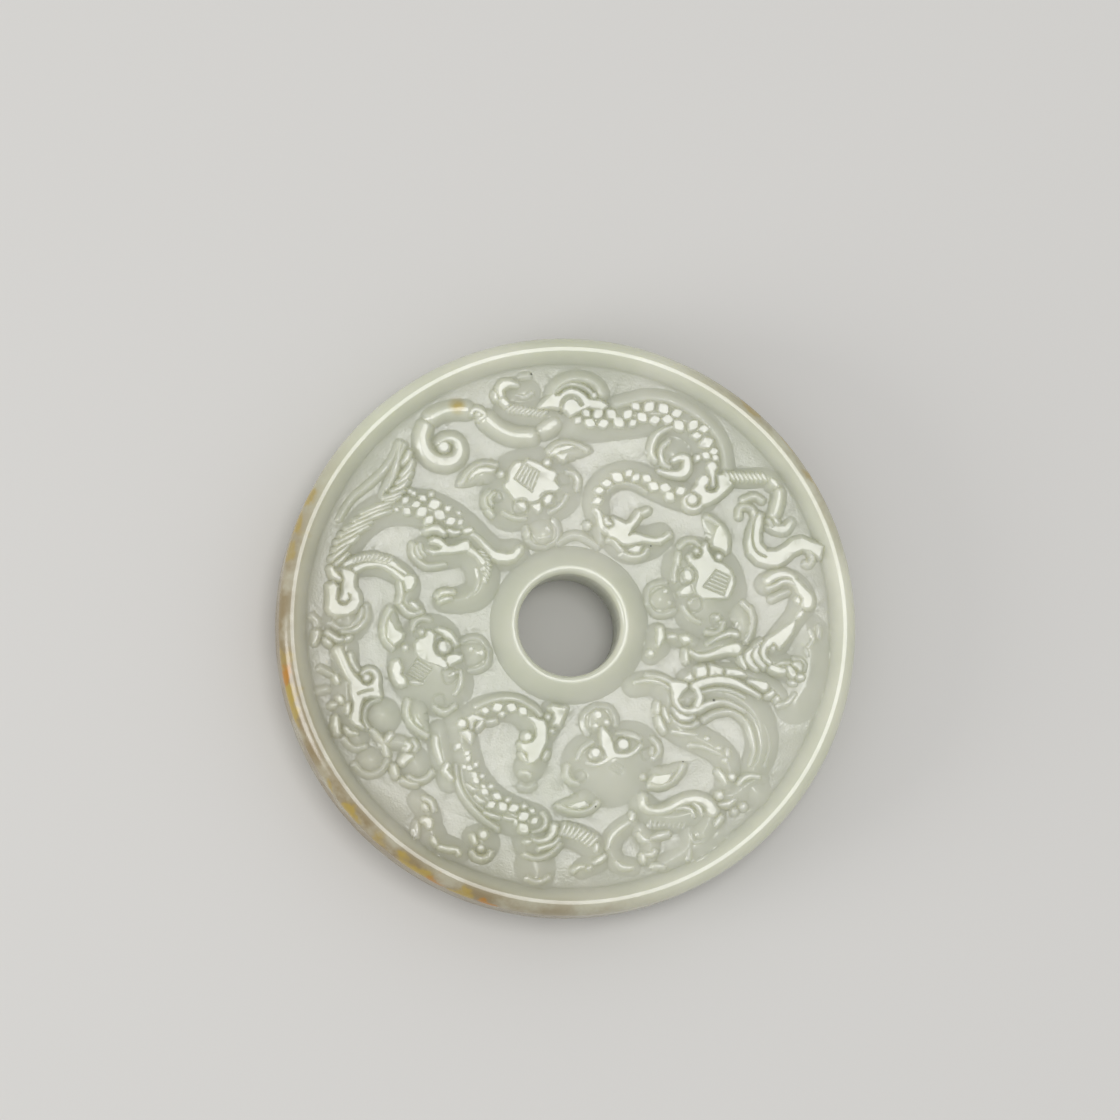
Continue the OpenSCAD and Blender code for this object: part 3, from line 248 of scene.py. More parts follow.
# Strokes of the dragons and beasts, in the columns of MASK_STROKES, and then the width of the side
# slope where that is over SIDE_SLOPE
STROKES = [
    # Top dragon's tail
    (1, (0.24, 0.36, 0.05), [(-13.85, 19.4), (-14.1, 18.6), (-14.1, 17.9), (-13.9, 17.2), (-13.5, 16.6),
        (-12.9, 16.15), (-12.2, 15.98), (-11.5, 16), (-10.9, 16.3), (-10.55, 16.8), (-10.5, 17.4),
        (-10.75, 17.95), (-11.2, 18.25), (-11.8, 18.25), (-12.2, 18.1), (-12.45, 17.85)], 0.8),
    (1, (0.18, 0.2, 0.22), [(-13.2, 20.3), (-12.4, 20.75), (-11.6, 21), (-10.8, 21.12),
        (-9.9, 21.1)], 0.9),
    (0.95, (0.1, 0.14), [(-9.35, 20.75), (-9.2, 21.05), (-8.7, 21.1), (-8.2, 20.75), (-8.1, 20.5),
        (-8.5, 20.2)]),
    (1, (0.2, 0.2, 0.22), [(-7.8, 20.15), (-7.1, 19.55), (-6.4, 19.1), (-5.6, 18.75), (-4.8, 18.6),
        (-3.6, 18.6)], 1),
    (0.95, (0.2, 0.3, 0.25), [(-2.3, 19.2), (-1.8, 19.5), (-1.3, 19.85)], 0.9),
    # Curl above the tail
    (0.95, (0.12, 0.28, 0.03), [(-6.45, 22.5), (-6.55, 23), (-6.3, 23.45), (-5.8, 23.7), (-5.3, 23.65),
        (-4.9, 23.55)]),
    (0.6, (0.03, 0.07), [(-4.9, 22.6), (-4.2, 22.4), (-3.5, 22.8)]),
    (0.5, (0.03, 0.05), [(-4.4, 24.4), (-3.8, 24.5)]),
    (0.9, (0.05, 0.1), [(-7.02, 22.7), (-6.9, 22.2)]),
    (0.95, (0.18, 0.2), [(-6.3, 22), (-5.95, 21.65)]),
    # Hair tuft over the haunch
    (0.9, (0.03, 0.06), [(-1.4, 22.7), (-1.1, 23.3), (-0.5, 23.8), (0.3, 24.15), (1.2, 24.25), (2.1, 24.1),
        (2.8, 23.7), (3.2, 23.2), (3.35, 22.8)], 0.9),
    (0.95, (0.03, 0.05), [(-0.9, 23.1), (-0.3, 23.5), (0.5, 23.68), (1.3, 23.55), (2, 23.2),
        (2.4, 22.8)]),
    # Ridge line over the scaled body
    (0.8, (0.03, 0.05, 0.04), [(4.8, 21.7), (6.3, 22.1), (7.6, 22.4), (8.7, 22.4), (9.9, 22.2),
        (11.3, 21.6), (12.8, 20.7), (14.2, 19.3), (15, 18.1), (15.35, 16.8), (15.5, 15.7)], 1),
    # Mane curl under the body
    (0.8, (0.06, 0.1, 0.04), [(10.3, 19.6), (9.4, 19.25), (8.7, 18.7), (8.35, 18), (8.2, 17.3),
        (8.35, 16.7), (8.6, 16.3)]),
    (0.85, (0.03, 0.06, 0.05), [(9.9, 18.2), (9.3, 17.6), (9.12, 17), (9.25, 16.3), (9.5, 15.9),
        (9.95, 15.65)]),
    (0.9, (0.15, 0.33, 0.04), [(10.4, 16.35), (11, 16.6), (11.55, 16.5), (11.7, 16), (11.55, 15.4),
        (11.1, 15), (10.4, 14.95), (9.6, 15.05), (9, 15.25)]),
    # Teardrop's tail
    (1, (0.25, 0.1, 0.07), [(14.08, 15.3), (14.15, 14.8), (14.2, 13.95)]),
    # Shoulder ring
    (0.9, (0.1, 0.1, 0.06), [(12, 12.95), (11.5, 12.7), (11.35, 12.3), (11.6, 11.8), (12.1, 11.57),
        (12.7, 11.65), (13.1, 12)]),
    # Brow, eye and beard of the top dragon's head
    (0.95, (0.1, 0.18, 0.2), [(2.7, 11.4), (2.95, 11.15), (3.12, 10.6), (3.2, 10), (3.45, 9.6),
        (3.9, 9.35)]),
    (0.95, (0.16, 0.16, 0.1), [(3.65, 10.45), (3.75, 10.15), (4.1, 10.05)]),
    (0.85, (0.06, 0.09, 0.04), [(3.95, 8.5), (4.5, 8.3), (4.9, 7.85), (5.3, 7.4)]),
    (0.8, (0.05, 0.08), [(5.4, 7.15), (6, 6.92), (6.8, 6.9), (7.4, 7.15), (7.72, 7.6)], 0.6),
    (0.85, (0.06, 0.1), [(7.2, 11.1), (7.8, 11.4)]),
    (0.6, (0.03, 0.05), [(3.9, 13.3), (4.6, 13.85), (5.8, 14.05), (6.8, 13.8), (7.7, 13.3)]),
    # Foreleg
    (0.72, (0.1, 0.15), [(15.2, 14.75), (17.2, 14.65), (19.4, 14.7), (20.2, 14.1)], 0.9),
    (1, (0.1, 0.17, 0.12), [(20.7, 13.3), (20.65, 12.6), (20.45, 11.7), (20.2, 11.1)], 0.7),
    (1, (0.1, 0.16), [(19.95, 14.45), (20.4, 13.95)]),
    (0.7, (0.05, 0.08), [(19.7, 10.5), (20, 10)]),
    (0.7, (0.05, 0.08), [(20.3, 10.7), (20.5, 10.3)]),
    (0.5, (0.15, 0.3, 0.1), [(19.8, 9.9), (20.4, 9.7), (21.3, 9.7), (21.9, 10.4)]),
    # Long outer feathers
    (0.7, (0.02, 0.05), [(-17.6, 13.4), (-16.9, 14.6), (-16.5, 16.2), (-16.3, 17.8)]),
    (0.7, (0.02, 0.05), [(-17.2, 14.2), (-16.7, 15.6), (-15.9, 17.6)]),
    # Inner foreleg and haunch of the left beast
    (1, (0.05, 0.08, 0.2), [(-9.2, 8.9), (-8.6, 8.4), (-8, 7.75), (-7.4, 7.1)], 0.7),
    (1, (0.08, 0.22, 0.1), [(-13.7, 9.3), (-12.8, 9.5), (-12.1, 9.1)], 0.6),
    (1, (0.08, 0.13), [(-11.6, 9.3), (-11.1, 9.1), (-10.6, 9.15)]),
    (1, (0.15, 0.2), [(-10, 9.25), (-9.5, 9.35)]),
    (0.95, (0.2, 0.15), [(-9.6, 7.4), (-9, 7), (-8.5, 6.45), (-8.3, 6.2)], 0.6),
    (0.85, (0.12, 0.2, 0.1), [(-8.25, 5.75), (-8.2, 5.5)]),
    (0.7, (0.03, 0.05, 0.04), [(-15.1, 7.9), (-15.05, 7), (-14.5, 6.3), (-13.7, 5.85), (-12.8, 5.9),
        (-12, 6.05)]),
    (0.85, (0.03, 0.07), [(-14.75, 7.75), (-14.6, 7.1), (-14.3, 6.7)]),
    (0.85, (0.03, 0.07), [(-14.4, 7.9), (-14.25, 7.3), (-13.9, 6.9)]),
    (0.7, (0.03, 0.05), [(-8.85, 5.6), (-8.7, 4.6), (-9, 3.5), (-9.8, 2.8)], 0.6),
    (1, (0.05, 0.13), [(-12.65, 2.95), (-12.2, 3.25), (-11.2, 3.3)]),
    (1, (0.05, 0.12), [(-12.4, 2.45), (-11.9, 2.65), (-11.4, 2.7)]),
    # Left beast's leg band
    (0.88, (0.15, 0.34, 0.1), [(-21.6, 5.95), (-20.8, 6.3), (-19.9, 6.5), (-18.9, 6.55), (-17.9, 6.3),
        (-17.1, 6), (-16.4, 5.5), (-15.8, 5.1)]),
    (1, (0.2, 0.1, 0.16), [(-20.6, 5.5), (-19.8, 5.85), (-18.9, 5.95), (-18, 5.85), (-17.2, 5.45),
        (-16.6, 5), (-16.1, 4.6)]),
    (0.85, (0.04, 0.09), [(-16.4, 2.3), (-16.2, 3.2), (-16.35, 4.3)]),
    (0.9, (0.06, 0.12), [(-15.2, 2.2), (-14.7, 1.8)]),
    (0.85, (0.03, 0.07), [(-16.2, 2), (-15.7, 1.4), (-15, 1.18), (-14.3, 1.4)]),
    # Bits and fan beside the spiral
    (0.95, (0.1, 0.18, 0.12), [(-23, 5.5), (-22.7, 4.95), (-22.2, 4.55)]),
    (0.62, (0.04, 0.08), [(-22.6, 0.85), (-22, 1), (-21.2, 0.95)]),
    (0.62, (0.03, 0.05), [(-22.9, 0.3), (-22.2, -0.2), (-21.4, -0.15), (-20.6, 0.3), (-20.2, 1)]),
    (0.75, (0.03, 0.07), [(-21.9, -0.56), (-21, -0.48), (-20.3, -0.1), (-19.8, 0.5)]),
    (0.7, (0.03, 0.06), [(-20.9, 0.15), (-20.3, 0.7), (-20, 1.6)]),
    (0.55, (0.03, 0.06), [(-19.95, 0.1), (-19.6, 0.9), (-19.6, 1.9)]),
    (0.62, (0.18, 0.12, 0.03), [(-24.4, -0.7), (-24.5, -1.2), (-24.6, -1.6)]),
    (0.4, (0.05, 0.1), [(-24.8, 0.9), (-24.4, 0.5), (-24.3, 0.1)]),
    (0.9, (0.05, 0.12), [(-23.3, -0.7), (-22.7, -1.15), (-22.3, -1.35), (-21.9, -1.3)]),
    (0.85, (0.05, 0.1), [(-23.5, -1.4), (-23.1, -1.75)]),
    (0.85, (0.05, 0.12), [(-21.55, -1.3), (-21.2, -1.1)]),
    # Lower left band
    (1, (0.22, 0.2, 0.3), [(-22.3, -2.4), (-21.9, -3.3), (-21.5, -4.2), (-21.05, -5),
        (-20.5, -5.7)], 0.7),
    (0.95, (0.12, 0.1, 0.04), [(-21.2, -2.8), (-21, -3.5), (-20.7, -4), (-20.5, -4.3)]),
    (1, (0.1, 0.1, 0.05), [(-18.45, -6.7), (-18.6, -5.9), (-18.6, -5), (-18.85, -4.45), (-19.3, -4.25),
        (-19.75, -4.4), (-19.95, -4.6)]),
    (0.9, (0.06, 0.12), [(-22.6, -4.9), (-22.4, -5.4)]),
    (0.45, (0.02, 0.04, 0.03), [(-24, -4.1), (-22.85, -4.7)]),
    (0.4, (0.02, 0.05, 0.03), [(-24.2, -6.3), (-23.4, -6.1)]),
    (0.95, (0.1, 0.14), [(-22.2, -6.95), (-22, -7.3)]),
    (0.65, (0.04, 0.08), [(-23, -7.7), (-22.5, -7.6)]),
    (0.85, (0.08, 0.2, 0.1), [(-22.55, -8.9), (-22.55, -9.7), (-22.4, -10.3)]),
    (0.95, (0.06, 0.14, 0.08), [(-21.4, -7.6), (-21.45, -8.4)]),
    (0.9, (0.05, 0.1), [(-21.6, -9.9), (-21.2, -10.3), (-20.6, -10.4)]),
    (0.55, (0.03, 0.04), [(-21.7, -10.9), (-21.2, -11.5), (-20.5, -11.78), (-19.8, -11.6)]),
    (0.7, (0.03, 0.05), [(-18.4, -7.1), (-19.2, -7.4), (-19.7, -8), (-19.85, -9), (-19.5, -9.8)]),
    (0.7, (0.03, 0.05), [(-19, -10.1), (-18.3, -10.9), (-17.85, -11.5), (-17.6, -12.4)]),
    (0.9, (0.08, 0.12, 0.05), [(-17.3, -10.6), (-17.7, -11.1)]),
    (0.5, (0.02, 0.03), [(-20.7, -13.4), (-20, -14.1), (-19.1, -14.3), (-18.2, -13.9), (-17.6, -13)]),
    # Curl with crescents
    (0.95, (0.06, 0.17), [(-15.8, -11.35), (-15.55, -11.6), (-15.75, -11.95)]),
    (0.85, (0.04, 0.07), [(-15.1, -11.2), (-14.85, -11.6), (-14.95, -11.95)]),
    (0.98, (0.2, 0.25, 0.08), [(-16.1, -13.1), (-15.8, -12.75), (-15.3, -12.6)]),
    (0.85, (0.05, 0.1), [(-17, -13.6), (-16.8, -14.4)]),
    (0.7, (0.03, 0.06), [(-16.1, -14.9), (-15.4, -15.2), (-14.8, -15.25)]),
    (0.7, (0.03, 0.05), [(-15.5, -14.55), (-14.8, -14.9), (-13.9, -14.7), (-13.3, -14.1)]),
    (0.85, (0.08, 0.13), [(-12.9, -10.8), (-12.85, -11.6), (-12.65, -12.3), (-12.4, -13.1)]),
    (0.95, (0.1, 0.13, 0.08), [(-11.85, -13.4), (-12.05, -13.95), (-11.8, -14.3), (-11.45, -14.7)]),
    (0.85, (0.03, 0.09), [(-14.1, -16.6), (-13.6, -16.85), (-13.3, -17.3), (-13.15, -17.75)]),
    (0.85, (0.05, 0.12, 0.04), [(-14.1, -17.3), (-13.85, -17.7)]),
    (0.95, (0.12, 0.3, 0.16), [(-14.1, -18.75), (-13.7, -18.85), (-13.6, -19.3)]),
    (0.9, (0.05, 0.18, 0.08), [(-13.25, -20.4), (-13.1, -20.75), (-12.95, -21)]),
    (0.5, (0.05, 0.15), [(-14.8, -19), (-14.8, -20.2)]),
    (0.9, (0.1, 0.14, 0.08), [(-12.6, -21.3), (-11.8, -21.5), (-11, -21.6), (-10.75, -21.9)]),
    (0.95, (0.08, 0.13), [(-9.4, -20.25), (-9.2, -20.85)]),
    (0.85, (0.03, 0.07), [(-9.5, -21.8), (-9.1, -22.25), (-8.5, -22.42), (-7.9, -22.2), (-7.7, -21.8)]),
    # Bottom dragon: neck ridge
    (0.85, (0.03, 0.06, 0.04), [(-9, -7.8), (-8.1, -7.4), (-7, -7.05), (-5.9, -6.95), (-4.9, -7.1),
        (-4, -7.6), (-3.3, -8.05), (-2.85, -8.5)], 0.6),
    (0.9, (0.08, 0.13, 0.06), [(-8.45, -9.2), (-8.9, -9.8)]),
    (0.8, (0.04, 0.08), [(-7.9, -9.25), (-7.2, -9.1)]),
    (0.9, (0.05, 0.1), [(-4.6, -12.3), (-4.2, -13)]),
    (0.9, (0.05, 0.1), [(-2.2, -12.2), (-2.45, -12.7)]),
    (0.85, (0.05, 0.09), [(-4.6, -14.1), (-4.1, -14.15), (-3.85, -14.35)]),
    (0.35, (0.03, 0.05), [(-4.7, -15.4), (-4.1, -15.6), (-3.5, -15.3)]),
    # Bottom dragon: belly lines
    (0.85, (0.04, 0.1), [(-9.9, -15.3), (-9.4, -15.7), (-8.85, -15.75)]),
    (0.9, (0.05, 0.12), [(-9.1, -16.4), (-8.7, -16.8), (-8.3, -16.95)]),
    (0.9, (0.05, 0.09, 0.04), [(-8.2, -18), (-7.4, -18.3), (-6.8, -18.45)]),
    (0.9, (0.05, 0.09, 0.1), [(-6.4, -18.45), (-5.8, -18.6), (-5.3, -18.7), (-5.2, -19.1)]),
    (0.7, (0.03, 0.04), [(-11, -13.5), (-10.75, -15.2), (-9.9, -16.9), (-8.5, -18.4), (-7, -19.5)]),
    (0.6, (0.03, 0.04), [(-10.4, -13.6), (-10.2, -15.2), (-9.4, -16.7), (-8, -18)]),
    # Haunch fans of the bottom dragon
    (0.85, (0.03, 0.08), [(-2.65, -18.1), (-2.35, -18.6), (-2.4, -19.2), (-2.9, -19.65), (-3.6, -19.85)]),
    (0.98, (0.04, 0.16, 0.2), [(-3.5, -20.6), (-2.9, -20.72), (-2.2, -20.55), (-1.7, -20),
        (-1.55, -19.4)]),
    (0.9, (0.1, 0.12, 0.04), [(-3, -21.45), (-2.3, -21.25), (-1.6, -21), (-1.1, -20.5)]),
    (0.85, (0.06, 0.12), [(-4.3, -20.8), (-3.85, -20.8)]),
    (0.8, (0.03, 0.06), [(-4.3, -22.05), (-3.6, -22.35), (-2.9, -22.35), (-2.1, -22.05), (-1.4, -21.5),
        (-1, -21)]),
    (0.6, (0.03, 0.07), [(-4.05, -24.3), (-3.4, -24.6), (-2.7, -24.55), (-2.1, -24.2)]),
    # Tail of the bottom dragon
    (0.7, (0.1, 0.15), [(-0.9, -19.9), (-0.3, -20.15), (0.6, -20.1), (1.4, -20.4), (2.1, -20.8)]),
    (0.9, (0.06, 0.12), [(2.6, -21.1), (2.55, -21.6)]),
    (0.95, (0.08, 0.15, 0.05), [(3.3, -22.2), (2.9, -22.5), (2.4, -22.8)]),
    (0.75, (0.05, 0.1, 0.04), [(1.3, -23.2), (0.9, -23.25), (0.4, -23.55)]),
    (0.75, (0.05, 0.08), [(2, -23.25), (1.75, -23.35)]),
    # Right: band over the thigh
    (1, (0.2, 0.22, 0.1), [(19.5, 4.6), (20, 4.95), (20.7, 5.2), (21.4, 5.2), (22, 4.9)], 0.6),
    (0.95, (0.06, 0.09, 0.1), [(19.6, 3.9), (20.2, 4.1), (20.9, 4.5), (21.5, 4.55), (22.1, 4.3)]),
    (1, (0.1, 0.3, 0.42), [(22, 4.7), (22.4, 4.2), (22.9, 3.5), (23.35, 2.9), (23.3, 2.4)], 0.6),
    (0.95, (0.08, 0.18), [(22.8, 1.55), (22.4, 1.1)]),
    (0.6, (0.03, 0.05), [(19.9, 2.85), (20.8, 3.3), (21.6, 3.6)]),
    (0.85, (0.1, 0.18), [(22.4, 2.9), (22.5, 2.5)]),
    # Thigh spiral
    (1, (0.2, 0.17, 0.1), [(19.6, -1.5), (19.1, -1.9), (18.95, -2.5), (19.15, -3), (19.6, -3.4)]),
    (1, (0.05, 0.28, 0.12), [(18.5, -1.8), (18.2, -2.5), (18.45, -3.2), (19, -3.75)]),
    (1, (0.05, 0.26, 0.08), [(17.9, -2.1), (17.45, -2.7), (17.7, -3.4), (18.3, -4)]),
    (0.8, (0.03, 0.06), [(18.8, -1.3), (18.2, -1.7), (17.7, -2.3)]),
    (0.95, (0.06, 0.14, 0.05), [(16.75, -2.9), (16.9, -3.3), (17.2, -3.9)]),
    (0.95, (0.2, 0.25), [(19.8, -3.9), (20.4, -4.1), (20.95, -4.2)]),
    (0.85, (0.04, 0.08), [(20.2, -3.6), (20.9, -3.4), (21.5, -3.4)]),
    (0.7, (0.03, 0.05), [(22, -3), (22.7, -3.1), (23.1, -3.6), (23, -4.1)]),
    (1, (0.12, 0.24), [(22.05, -3.55), (22.4, -3.65), (22.55, -4)]),
    (1, (0.14, 0.24, 0.2), [(21.5, -3.9), (21.7, -4.25), (21.9, -4.55)]),
    (0.95, (0.1, 0.2, 0.12), [(22.4, -4.75), (22.75, -4.8)]),
    (0.75, (0.05, 0.1), [(21.7, -5.3), (22.1, -5.4)]),
    (0.62, (0.03, 0.06), [(23.6, -0.2), (23.9, -1), (23.5, -1.8)]),
    (0.5, (0.03, 0.08), [(24.4, 0.2), (24.5, -0.8)]),
    (0.5, (0.03, 0.08), [(23.2, -2), (23.4, -2.7)]),
    (0.6, (0.03, 0.1), [(20.6, -7.5), (21.4, -7.2), (22.1, -6.4)]),
    # Right: small lights by the mask's mouth
    (0.95, (0.15, 0.25, 0.06), [(8.9, -0.2), (8.95, -0.8), (8.75, -1.7)]),
    (0.9, (0.06, 0.14), [(9.8, -0.9), (10.4, -0.9)]),
    (0.98, (0.1, 0.25), [(11.1, -1.05), (11.7, -1.2)]),
    (0.85, (0.05, 0.1), [(11.4, -2.3), (11.45, -3.2)]),
    # Right: band and long scales of the neck
    (0.98, (0.06, 0.15, 0.42), [(11.9, -2.4), (12.6, -2.75), (13.4, -2.75), (14.4, -2.45), (15.3, -2.15),
        (16.3, -2.05)]),
    (0.8, (0.03, 0.1, 0.12), [(13.5, -1.65), (14.2, -1.2), (15, -0.8), (15.8, -0.55), (16.4, -0.65)]),
    # Wing arcs
    (1, (0.28, 0.25, 0.04), [(12.3, -5.7), (13, -5.4), (14, -5.15), (15, -5.1), (16, -5.3), (17, -5.75),
        (17.9, -6.25), (18.5, -6.6)]),
    (0.95, (0.04, 0.06, 0.03), [(12.6, -6.4), (13.6, -6.15), (14.9, -6.02), (16.1, -6.3), (17.1, -6.8)]),
    (0.95, (0.2, 0.06, 0.03), [(12.6, -7.9), (13.2, -7.6), (14.1, -7.3), (15.1, -7.2), (16.2, -7.6),
        (17.1, -8.1)]),
    (1, (0.16, 0.18, 0.2), [(12.45, -5.9), (12.75, -6.8), (12.5, -7.6)]),
    (1, (0.05, 0.2, 0.35), [(17.6, -5.2), (18.3, -5.4), (19, -5.7)]),
    (0.9, (0.05, 0.15, 0.12), [(19.3, -6.6), (19.6, -6.5), (19.85, -6.3)]),
    (0.75, (0.02, 0.03), [(13.2, -8.9), (14.4, -8.3), (15.9, -8.2), (17.2, -9.1), (17.8, -10.4),
        (18, -11.9), (17.6, -13.3)]),
    (0.74, (0.02, 0.03), [(16.6, -7.7), (17.8, -8.6), (18.5, -10), (18.7, -11.6), (18.3, -13.2)]),
    (0.55, (0.03, 0.03, 0.02), [(17.4, -7.5), (18.6, -8.6), (19.3, -10.1), (19.5, -11.7), (19, -13.4)]),
    # Neck line and shoulder of the right beast
    (0.85, (0.03, 0.06, 0.06), [(7.7, -4.7), (8.6, -4.8), (9.4, -5.05), (10, -5.4)]),
    (0.8, (0.03, 0.08), [(6.5, -5.35), (7.6, -5.15), (8.8, -5.35), (9.7, -5.9)]),
    (0.95, (0.15, 0.12, 0.2), [(10.35, -6.6), (10.45, -7.3), (10.9, -7.95), (11.6, -8.15), (12.3, -8),
        (12.7, -7.8)]),
    (0.9, (0.04, 0.22), [(10.1, -7.9), (10.7, -8.6), (11.5, -8.85), (12, -8.7)]),
    (0.8, (0.04, 0.08, 0.03), [(9.85, -8.6), (10.3, -9.2), (11.1, -9.6), (11.9, -9.6), (12.4, -9.3)]),
    (0.9, (0.05, 0.12), [(9.25, -7.9), (9.4, -8.5), (9.7, -9.1)]),
    (0.9, (0.05, 0.14), [(8.7, -8.8), (8.9, -9.4), (9.2, -10)]),
    (0.8, (0.04, 0.12), [(8.65, -7.4), (8.6, -8.3)]),
    (0.8, (0.04, 0.08), [(10.1, -10.1), (11.2, -10.3), (12.3, -10.4)]),
    (0.75, (0.03, 0.12, 0.05), [(14.25, -11.7), (14.7, -11.75)]),
    (0.7, (0.03, 0.08), [(15.4, -11.9), (15.45, -12.4)]),
    (0.7, (0.03, 0.06), [(11.8, -11.4), (12.8, -11.5), (13.9, -11.9), (14.7, -12.3)]),
    # Lower right beast
    (1, (0.06, 0.16, 0.2), [(7.12, -16.5), (7.15, -17.1), (7.5, -17.6), (8.2, -17.82), (9, -17.78),
        (9.8, -17.5), (10.5, -17.1), (11.2, -16.8)], 0.7),
    (1, (0.2, 0.25, 0.35), [(11.2, -16.8), (12.1, -16.65), (12.9, -16.8), (13.5, -17.2),
        (13.85, -17.8)], 0.7),
    (0.95, (0.05, 0.09, 0.04), [(10.4, -17.6), (11.2, -17.5), (11.8, -17.75), (12.05, -18.3)]),
    (0.98, (0.06, 0.15), [(12.1, -17.1), (12.55, -17.5), (12.8, -18.1)]),
    (0.9, (0.05, 0.12, 0.04), [(5.7, -18.95), (5, -19.4), (4.4, -19.9), (4, -20.4), (3.8, -20.9),
        (3.65, -21.4)]),
    (0.7, (0.04, 0.06), [(6.1, -18.1), (6.1, -18.6)]),
    (0.9, (0.06, 0.1), [(6.75, -20.1), (7.1, -20.5), (7.6, -20.72)]),
    (0.85, (0.06, 0.1), [(7.3, -22.05), (8, -21.95), (8.2, -21.7)]),
    (0.85, (0.04, 0.1), [(8, -20.4), (8.7, -20.2), (9.5, -20)]),
    (0.85, (0.04, 0.1), [(4.5, -22.8), (4.9, -23.15), (5.5, -23.3), (6, -23.25)]),
    (0.6, (0.04, 0.1), [(8.2, -23.1), (9.1, -23.15)]),
    (0.55, (0.03, 0.05), [(11.6, -21.6), (11.5, -22.4)]),
    (0.55, (0.02, 0.03), [(11.8, -20.1), (12, -20.7), (12.6, -20.8), (13.1, -20.4), (13, -19.8)]),
    (0.85, (0.05, 0.1, 0.04), [(7.05, -22.1), (7.15, -22.6)]),
    (0.85, (0.04, 0.12), [(14.5, -14), (14.9, -14.5), (15.2, -15.1)]),
    (0.85, (0.04, 0.12), [(14.7, -17.2), (15.4, -17.1), (16, -16.7)]),
    (0.9, (0.05, 0.14, 0.06), [(16.5, -15.15), (16.9, -14.7), (17.6, -14.42), (18.4, -14.5)]),
    (0.9, (0.05, 0.12), [(14.7, -18.4), (14.2, -19.1)]),
    (0.4, (0.02, 0.03), [(12.4, -22.65), (13.8, -21.9), (15.2, -21), (16.2, -20.2)]),
    # Ribbon hooks
    (0.7, (0.02, 0.04), [(16.75, 10.9), (16.85, 11.6), (17.4, 11.9), (18.1, 11.6), (18.3, 11)]),
    (0.7, (0.02, 0.04), [(23.6, 7.5), (23.95, 6.9), (23.6, 6.25), (23.3, 6.3)]),
    (0.8, (0.03, 0.05), [(17.2, 12.5), (17.8, 12.75), (18.4, 12.85), (19, 12.5)]),
]

